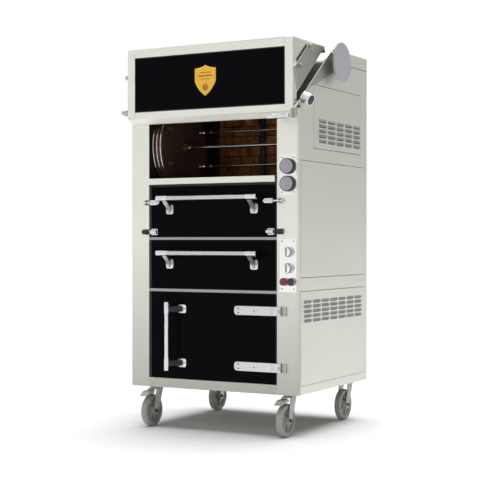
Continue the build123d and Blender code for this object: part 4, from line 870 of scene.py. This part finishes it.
class OVEN_OT_controls(bpy.types.Operator):
    """Control plates, dials, knobs and push buttons"""

    bl_idname = "oven.controls"
    bl_label = "Controls"

    def execute(self, context):
        face = span("control_plates")[0].y
        _, dial_high, centre, _ = round_span("upper_dial")
        corner = 31.0
        rows = (
            dial_high.z + 4, span("lower_dial")[0].z - 3,
            span("upper_knob")[1].z + 26, span("start_button")[0].z - 15,
        )
        places = [(x, face, z) for z in rows for x in (centre.x - corner, centre.x + corner)]
        parts = [(copy_of("control_plates", 0.5, ROUND_ANGLE), POLISHED)]
        parts += screws(places, FRONT, BLACK_STEEL_AND_SHADE, 2.6, 0.8)
        piece("control_plate_sheets", "root", parts, ["control_plates"])
        for node in ("upper_dial", "lower_dial"):
            self.dial(node)
        for node in ("upper_knob", "lower_knob"):
            self.knob(node)
        for node, material in (("start_button", RED), ("stop_button", DARK_RED)):
            low, high, centre, radius = round_span(node, "x")
            deep = high.y - low.y
            head = (
                (0, 0), (radius - 1.5, 0), (radius, 1.2), (radius, deep - 3.5), (radius - 1.2, deep - 1.4),
                (radius - 4, deep - 0.5), (radius * 0.5, deep - 0.1), (0, deep),
            )
            parts = [(turned(head, (centre.x, high.y, centre.z), FRONT, 48), material)]
            piece(f"{node}_moulded", node, parts, [node])
        return {"FINISHED"}

    def dial(self, node):
        """A black skirt with grip ridges, a grey face and a mark near its rim."""
        low, high, centre, radius = round_span(node, "x")
        x, z = centre.xz
        deep = high.y - low.y
        skirt = (
            (0, 0), (radius - 2, 0), (radius, 1.5), (radius, deep - 4), (radius - 1.5, deep - 1.5),
            (radius - 4.5, deep - 1), (0, deep - 1),
        )
        face = (
            (0, deep - 1.2), (0, deep - 0.6), (radius - 9, deep - 0.6), (radius - 6.5, deep),
            (radius - 4.2, deep - 0.3), (radius - 3.8, deep - 1.2),
        )
        mark_low, mark_high = (x - 0.9, low.y - 0.15, z + radius - 18), (x + 0.9, low.y + 0.8, z + radius - 8)
        parts = [
            (turned(skirt, (x, high.y, z), FRONT, 72), BLACK_PLASTIC),
            (turned(face, (x, high.y, z), FRONT, 72), DIAL),
            (block(mark_low, mark_high, 0.3, 1), BLACK_PLASTIC),
        ]
        ridges, grip = 48, radius - 0.4
        for i in range(ridges):
            angle = math.tau * i / ridges
            ridge = rod((0, high.y - 2, 0), (0, low.y + 4.5, 0), 0.9, 0.0, 6)
            place = (x + grip * math.cos(angle), 0, z + grip * math.sin(angle))
            bmesh.ops.translate(ridge, vec=place, verts=ridge.verts)
            parts.append((ridge, BLACK_PLASTIC))
        piece(f"{node}_moulded", node, parts, [node])

    def knob(self, node):
        """A grey barrel on a polished skirt, with a polished cap and a bar across it."""
        low, high, centre, radius = round_span(node, "x")
        x, z = centre.xz
        deep = high.y - low.y
        body = (
            (0, 0), (radius - 0.8, 0), (radius, 0.8), (radius, 3), (radius - 1.6, 4.6),
            (radius - 2.2, deep - 2), (radius - 3.4, deep - 0.4), (radius - 5, deep), (0, deep),
        )
        cap, skirt = low.y + 0.5, low.y + deep - 3.5

        def knob_finish(middle):
            return POLISHED if middle.y < cap or middle.y > skirt else DIAL

        bar = block((x - 4, low.y - 0.2, z - radius + 6), (x + 7, low.y + 0.8, z + radius - 6), 0.2, 1)
        parts = [(turned(body, (x, high.y, z), FRONT, 48), knob_finish), (bar, DIAL)]
        piece(f"{node}_moulded", node, parts, [node])


# ---------------------------------------------------------------- hood


class OVEN_OT_hood(bpy.types.Operator):
    """Lifting hood: sheet shell, black glass, shield badge and side braces"""

    bl_idname = "oven.hood"
    bl_label = "Hood"

    def execute(self, context):
        edge = sizes()["sheet_edge"] * 1.5
        # The hood's lower lip takes the whiter matt sheet: painted light for the glow of the floor.
        lip = span("visor_shell")[0].z + 18

        def shell_finish(middle):
            return LIT_UNDERSIDE if middle.z < lip else STEEL

        eased("hood_shell", "visor", "visor_shell", shell_finish, edge)
        self.glass()
        self.badge()
        parts = [(copy_of("visor_braces", 1.0, ROUND_ANGLE), SATIN_BAR)]
        # Along the upper edge of each brace runs a near-black strip of painted shadow.
        for side in (-1, 1):
            parts.append((self.channel(side), BLACK_STEEL_AND_SHADE))
        piece("hood_braces", "visor", parts, ["visor_braces"])
        return {"FINISHED"}

    def glass(self):
        """A pane with a strip of seal along each edge."""
        low, high = span("visor_glass")
        parts = [(block(low, high, 1.2), GLASS)]
        seal, front, back = 5.0, low.y - 0.4, low.y + 1
        for left, right, foot, top in (
            (low.x, high.x, low.z, low.z + seal),
            (low.x, high.x, high.z - seal, high.z),
            (low.x, low.x + seal, low.z, high.z),
            (high.x - seal, high.x, low.z, high.z),
        ):
            parts.append((block((left, front, foot), (right, back, top), 0.3, 1), BLACK_PLASTIC))
        piece("hood_glass", "visor", parts, ["visor_glass"])

    def channel(self, side):
        """A near-black strip of painted shadow along the upper edge of a brace, where its raised edge throws
        shade.
        """
        bm = copy_of("visor_braces")
        ours = [e for e in bm.edges if all(v.co.x * side > 0 for v in e.verts)]
        longest = max(ours, key=lambda e: e.calc_length())
        along = (longest.verts[1].co - longest.verts[0].co).normalized()
        if along.z < 0:
            along.negate()
        rise = Vector((0, -along.z, along.y))
        points = [v.co.copy() for e in ours for v in e.verts]
        bm.free()
        top = max(point.dot(rise) for point in points)
        rim = [point for point in points if point.dot(rise) > top - 0.5]
        start = min(rim, key=lambda point: point.dot(along))
        end = max(rim, key=lambda point: point.dot(along))
        cheek = side * min(abs(point.x) for point in points)
        near, far, height = start.lerp(end, 0.22), start.lerp(end, 0.86), rise * 11
        outline = [(cheek, *corner.yz) for corner in (near, far, far + height, near + height)]
        return plate(outline, (side * 4.0, 0, 0), 0.5)

    def badge(self):
        """A shield with a raised rim, three bars and a plain flame."""
        low, high = span("visor_badge")
        shield = copy_of("visor_badge")
        bmesh.ops.recalc_face_normals(shield, faces=shield.faces)
        front = [f for f in shield.faces if f.normal.y < -0.9]
        bmesh.ops.inset_region(shield, faces=front, thickness=4.0, depth=-1.0, use_even_offset=True)
        x, face, z = (low.x + high.x) / 2, low.y + 1.0, low.z + 46
        flame = [
            (0, -22), (11, -17), (16, -6), (13, 5), (8, 12), (9, 20), (2, 14), (-1, 4), (-5, 9), (-6, 16),
            (-13, 6), (-16, -6), (-11, -17),
        ]
        outline = [(x + across, face, z + up) for across, up in flame]
        parts = [(shield, GOLD), (plate(outline, (0, -0.8, 0), 0.25, 1), BROWNED)]
        top_bar, bar_pitch = high.z - 36, 16
        for row, (half, height) in enumerate(((30, 5), (38, 7), (24, 3.5))):
            z = top_bar - row * bar_pitch
            bar_low = (x - half, face - 0.7, z - height / 2)
            bar_high = (x + half, face + 0.3, z + height / 2)
            parts.append((block(bar_low, bar_high, 0.3, 1), BROWNED))
        piece("hood_badge", "visor", parts, ["visor_badge"])


class OVEN_OT_lift(bpy.types.Operator):
    """Lift arms, lever grip, counterweight, balance disc and pivots"""

    bl_idname = "oven.lift"
    bl_label = "Lift arms"

    def execute(self, context):
        edge = sizes()["bar_edge"]
        for side in ("left", "right"):
            eased(f"{side}_arm_bar", "visor", f"{side}_lift_arm", SATIN_BAR, edge, ROUND_ANGLE)
        low, high, centre, radius = round_span("lever_grip")
        long = high.x - low.x
        grip = (
            (0, 0), (6, 0), (6, 8), (radius - 3, 8.5), (radius - 1, 10), (radius, 14),
            (radius - 1.2, 34), (radius - 1.8, 60), (radius - 1.2, 86), (radius, long - 10),
            (radius - 1.5, long - 3), (radius - 5, long), (0, long),
        )
        parts = [(turned(grip, (high.x, centre.y, centre.z), LEFT, 40), CHROME)]
        piece("lever_grip_turned", "visor", parts, ["lever_grip"])
        low, high, centre, radius = round_span("arm_weight")
        long = high.x - low.x
        barrel = (
            (0, 0), (radius - 2, 0), (radius, 2), (radius, 8), (radius - 1.2, 9), (radius - 1.2, 11),
            (radius, 12), (radius, long - 3), (radius - 3, long), (radius - 6, long), (radius - 7, long - 3),
            (0, long - 3),
        )
        # The barrel's end is a near-black disc: painted reflection of dark surroundings in the chrome end.
        end = ((0, long - 3.2), (0, long - 1), (radius - 5, long - 1), (radius - 4, long - 3.2))
        lean = Vector((0.90, -0.14, -0.42)).normalized()
        start = centre - lean * long / 2
        parts = [(turned(barrel, start, lean, 48), CHROME), (turned(end, start, lean, 48), BLACK_STEEL_AND_SHADE)]
        piece("arm_weight_turned", "visor", parts, ["arm_weight"])
        low, high, centre, radius = round_span("balance_disc")
        deep = high.x - low.x
        disc = (
            (0, 0), (radius - 1.5, 0), (radius, 1.5), (radius, deep - 3), (radius - 3, deep - 0.6),
            (radius - 9, deep - 0.2), (radius - 11, deep - 1.2), (44.0, deep - 1.2), (42.0, deep - 0.2),
            (24.0, deep), (0, deep),
        )
        parts = [(turned(disc, (low.x, centre.y, centre.z), RIGHT, 72), POWDER)]
        piece("balance_disc_turned", "visor", parts, ["balance_disc"])
        eased("pivot_blocks", "root", "pivot_shafts", BLACK_STEEL_AND_SHADE, 1.0, ROUND_ANGLE)
        return {"FINISHED"}


# ---------------------------------------------------------------- casters


class OVEN_OT_casters(bpy.types.Operator):
    """Four swivel casters, the front two with brake pedals"""

    bl_idname = "oven.casters"
    bl_label = "Casters"

    def execute(self, context):
        eased("caster_plates", "root", "caster_tops", ZINC, 1.0, ROUND_ANGLE)
        for corner in CORNERS:
            self.wheel(corner)
            self.fork(corner)
            if corner.startswith("front"):
                eased(f"{corner}_pedal", f"{corner}_brake", f"{corner}_brake", ZINC, 2.0, 30.0)
        return {"FINISHED"}

    def wheel(self, corner):
        """Tyre with a crowned tread, ribbed web and hub."""
        node = f"{corner}_wheel"
        low, high, centre, radius = round_span(node)
        half, hub = 17.0, (high.x - low.x) / 2
        tyre = (
            (radius - 20, -half + 3), (radius - 17, -half), (radius - 8, -half), (radius - 3, -half + 2.5),
            (radius - 0.6, -half + 8), (radius, 0), (radius - 0.6, half - 8), (radius - 3, half - 2.5),
            (radius - 8, half), (radius - 17, half), (radius - 20, half - 3),
        )
        rim = (
            (radius - 19, -half + 5), (radius - 19, half - 5), (radius - 24, half - 5), (radius - 27, 5),
            (26, 5), (24, hub - 3), (21, hub), (7, hub), (7, -hub), (21, -hub), (24, -hub + 3), (26, -5),
            (radius - 27, -5), (radius - 24, -half + 5),
        )
        parts = [(turned(tyre, centre, RIGHT, 64, closed=True), POLYAMIDE)]
        parts.append((turned(rim, centre, RIGHT, 48, closed=True), POLYAMIDE))
        ribs = 6
        for i in range(ribs):
            rib = block(centre + Vector((-12, -3, 22)), centre + Vector((12, 3, radius - 22)), 1.0, 1)
            parts.append((turn(rib, 360.0 / ribs * i, "X", centre), POLYAMIDE))
        piece(f"{corner}_wheel_moulded", node, parts, [node])

    def fork(self, corner):
        """Pressed fork with a nut inside each cheek."""
        low, high = span(f"{corner}_fork")
        centre = round_span(f"{corner}_wheel")[2]
        half, nut_depth = (high.x - low.x) / 2, 5.5
        parts = [(copy_of(f"{corner}_fork", 1.2, ROUND_ANGLE), ZINC)]
        for side in (-1, 1):
            inner = centre + Vector((side * (half - nut_depth), 0, 0))
            outer = centre + Vector((side * half, 0, 0))
            parts.append((rod(inner, outer, 9.0, 0.8, 6), BLACK_STEEL_AND_SHADE))
        piece(f"{corner}_fork_pressed", f"{corner}_swivel", parts, [f"{corner}_fork"])


# ---------------------------------------------------------------- stage


class OVEN_OT_stage(bpy.types.Operator):
    """Pale floor, soft studio light and the camera"""

    bl_idname = "oven.stage"
    bl_label = "Stage"

    def execute(self, context):
        scene = context.scene
        scene.view_settings.view_transform = "Standard"
        matt = {"Roughness": 0.9, "Specular IOR Level": 0.1}
        floor_finish, shader, _ = finish_with("Pale studio floor", matt)
        shader.inputs["Base Color"].default_value = (0.93, 0.93, 0.93, 1.0)
        bm = bmesh.new()
        bmesh.ops.create_grid(bm, x_segments=1, y_segments=1, size=60.0)
        mesh = bpy.data.meshes.new("studio_floor")
        bm.to_mesh(mesh)
        bm.free()
        mesh.materials.append(floor_finish)
        self.stand(scene, "studio_floor", mesh)
        self.world(scene)
        # A broad sun from just behind the top, and a weak lamp that lifts the front without a reflection.
        sun = bpy.data.lights.new("soft_key", "SUN")
        sun.energy = 3.3
        sun.angle = math.radians(60.0)
        self.stand(scene, "soft_key", sun, (0.04, 0.16, 1.0))
        fill = bpy.data.lights.new("soft_fill", "AREA")
        fill.energy = 10.0
        fill.size = 1.6
        front = self.stand(scene, "soft_fill", fill, (-0.3, -2.6, 0.1))
        front.location = (-0.6, -2.6, 1.5)
        front.visible_camera = False
        front.visible_glossy = False
        lens = bpy.data.cameras.new("view")
        lens.lens = 93.36
        lens.sensor_width = 36.0
        camera = self.stand(scene, "view", lens)
        camera.location = (3.0537, -5.6460, 0.9437)
        camera.rotation_euler = (math.radians(90.0), 0.0, math.radians(28.82))
        scene.camera = camera
        return {"FINISHED"}

    def stand(self, scene, name, data, lit_from=None):
        """Puts an object on the stage, turned so that a lamp shines from a direction."""
        thing = bpy.data.objects.new(name, data)
        if lit_from:
            thing.rotation_euler = Vector(lit_from).to_track_quat("Z", "Y").to_euler()
        scene.collection.objects.link(thing)
        return thing

    def world(self, scene):
        """A white surround, dimmer behind the oven's right side, with a grey band near the horizon."""
        world = bpy.data.worlds.new("studio")
        world.use_nodes = True
        scene.world = world
        surround = world.node_tree.nodes["Background"]
        direction = add(world, "ShaderNodeTexCoord").outputs["Generated"]
        behind = (0.48, 0.88, 0.0)
        aside = add(world, "ShaderNodeVectorMath", {0: direction, 1: behind}, operation="DOT_PRODUCT")
        dim = add(
            world, "ShaderNodeMapRange",
            {
                "Value": aside.outputs["Value"], "From Min": -0.2, "From Max": 0.9,
                "To Min": 1.0, "To Max": 0.62,
            },
        )
        height = add(world, "ShaderNodeSeparateXYZ", {"Vector": direction})
        lift = add(
            world, "ShaderNodeMapRange",
            {"Value": height.outputs["Z"], "From Min": 0.0, "From Max": 0.6, "To Min": 0.92, "To Max": 1.15},
        )
        shares = {0: dim.outputs["Result"], 1: lift.outputs["Result"]}
        soft = add(world, "ShaderNodeMath", shares, operation="MULTIPLY")
        ray = add(world, "ShaderNodeLightPath")
        matt_rays = {"Value": ray.outputs["Is Diffuse Ray"], "To Min": 0.92, "To Max": 0.17}
        matt = add(world, "ShaderNodeMapRange", matt_rays)
        shares = {0: soft.outputs[0], 1: matt.outputs["Result"]}
        dull = add(world, "ShaderNodeMath", shares, operation="MULTIPLY")
        # The camera sees the surround plain white, whatever light it gives.
        either = {0: dull.outputs[0], 1: ray.outputs["Is Camera Ray"]}
        seen = add(world, "ShaderNodeMath", either, operation="MAXIMUM")
        surround.inputs["Color"].default_value = (1.0, 1.0, 1.0, 1.0)
        world.node_tree.links.new(seen.outputs[0], surround.inputs["Strength"])


OPERATORS = (
    OVEN_OT_finishes,
    OVEN_OT_cabinet,
    OVEN_OT_right_side,
    OVEN_OT_chamber,
    OVEN_OT_rotor,
    OVEN_OT_doors,
    OVEN_OT_controls,
    OVEN_OT_hood,
    OVEN_OT_lift,
    OVEN_OT_casters,
    OVEN_OT_stage,
)


class OVEN_PT_pieces(bpy.types.Panel):
    """Lists the oven's sizes, colours and pieces"""

    bl_idname = "OVEN_PT_pieces"
    bl_label = "Rotisserie Oven"
    bl_space_type = "VIEW_3D"
    bl_region_type = "UI"
    bl_category = "Oven"

    def draw(self, context):
        for group in (context.scene.oven_sizes, context.scene.oven_colours):
            box = self.layout.box()
            for name in type(group).__annotations__:
                box.prop(group, name)
        for operator in OPERATORS:
            self.layout.operator(operator.bl_idname)


CLASSES = (OvenSizes, OvenColours, *OPERATORS, OVEN_PT_pieces)


def register():
    for cls in CLASSES:
        bpy.utils.register_class(cls)
    bpy.types.Scene.oven_sizes = bpy.props.PointerProperty(type=OvenSizes)
    bpy.types.Scene.oven_colours = bpy.props.PointerProperty(type=OvenColours)


def unregister():
    del bpy.types.Scene.oven_colours
    del bpy.types.Scene.oven_sizes
    for cls in reversed(CLASSES):
        bpy.utils.unregister_class(cls)


def main():
    register()
    for operator in OPERATORS:
        group, name = operator.bl_idname.split(".")
        getattr(getattr(bpy.ops, group), name)()


if __name__ == "__main__":
    main()
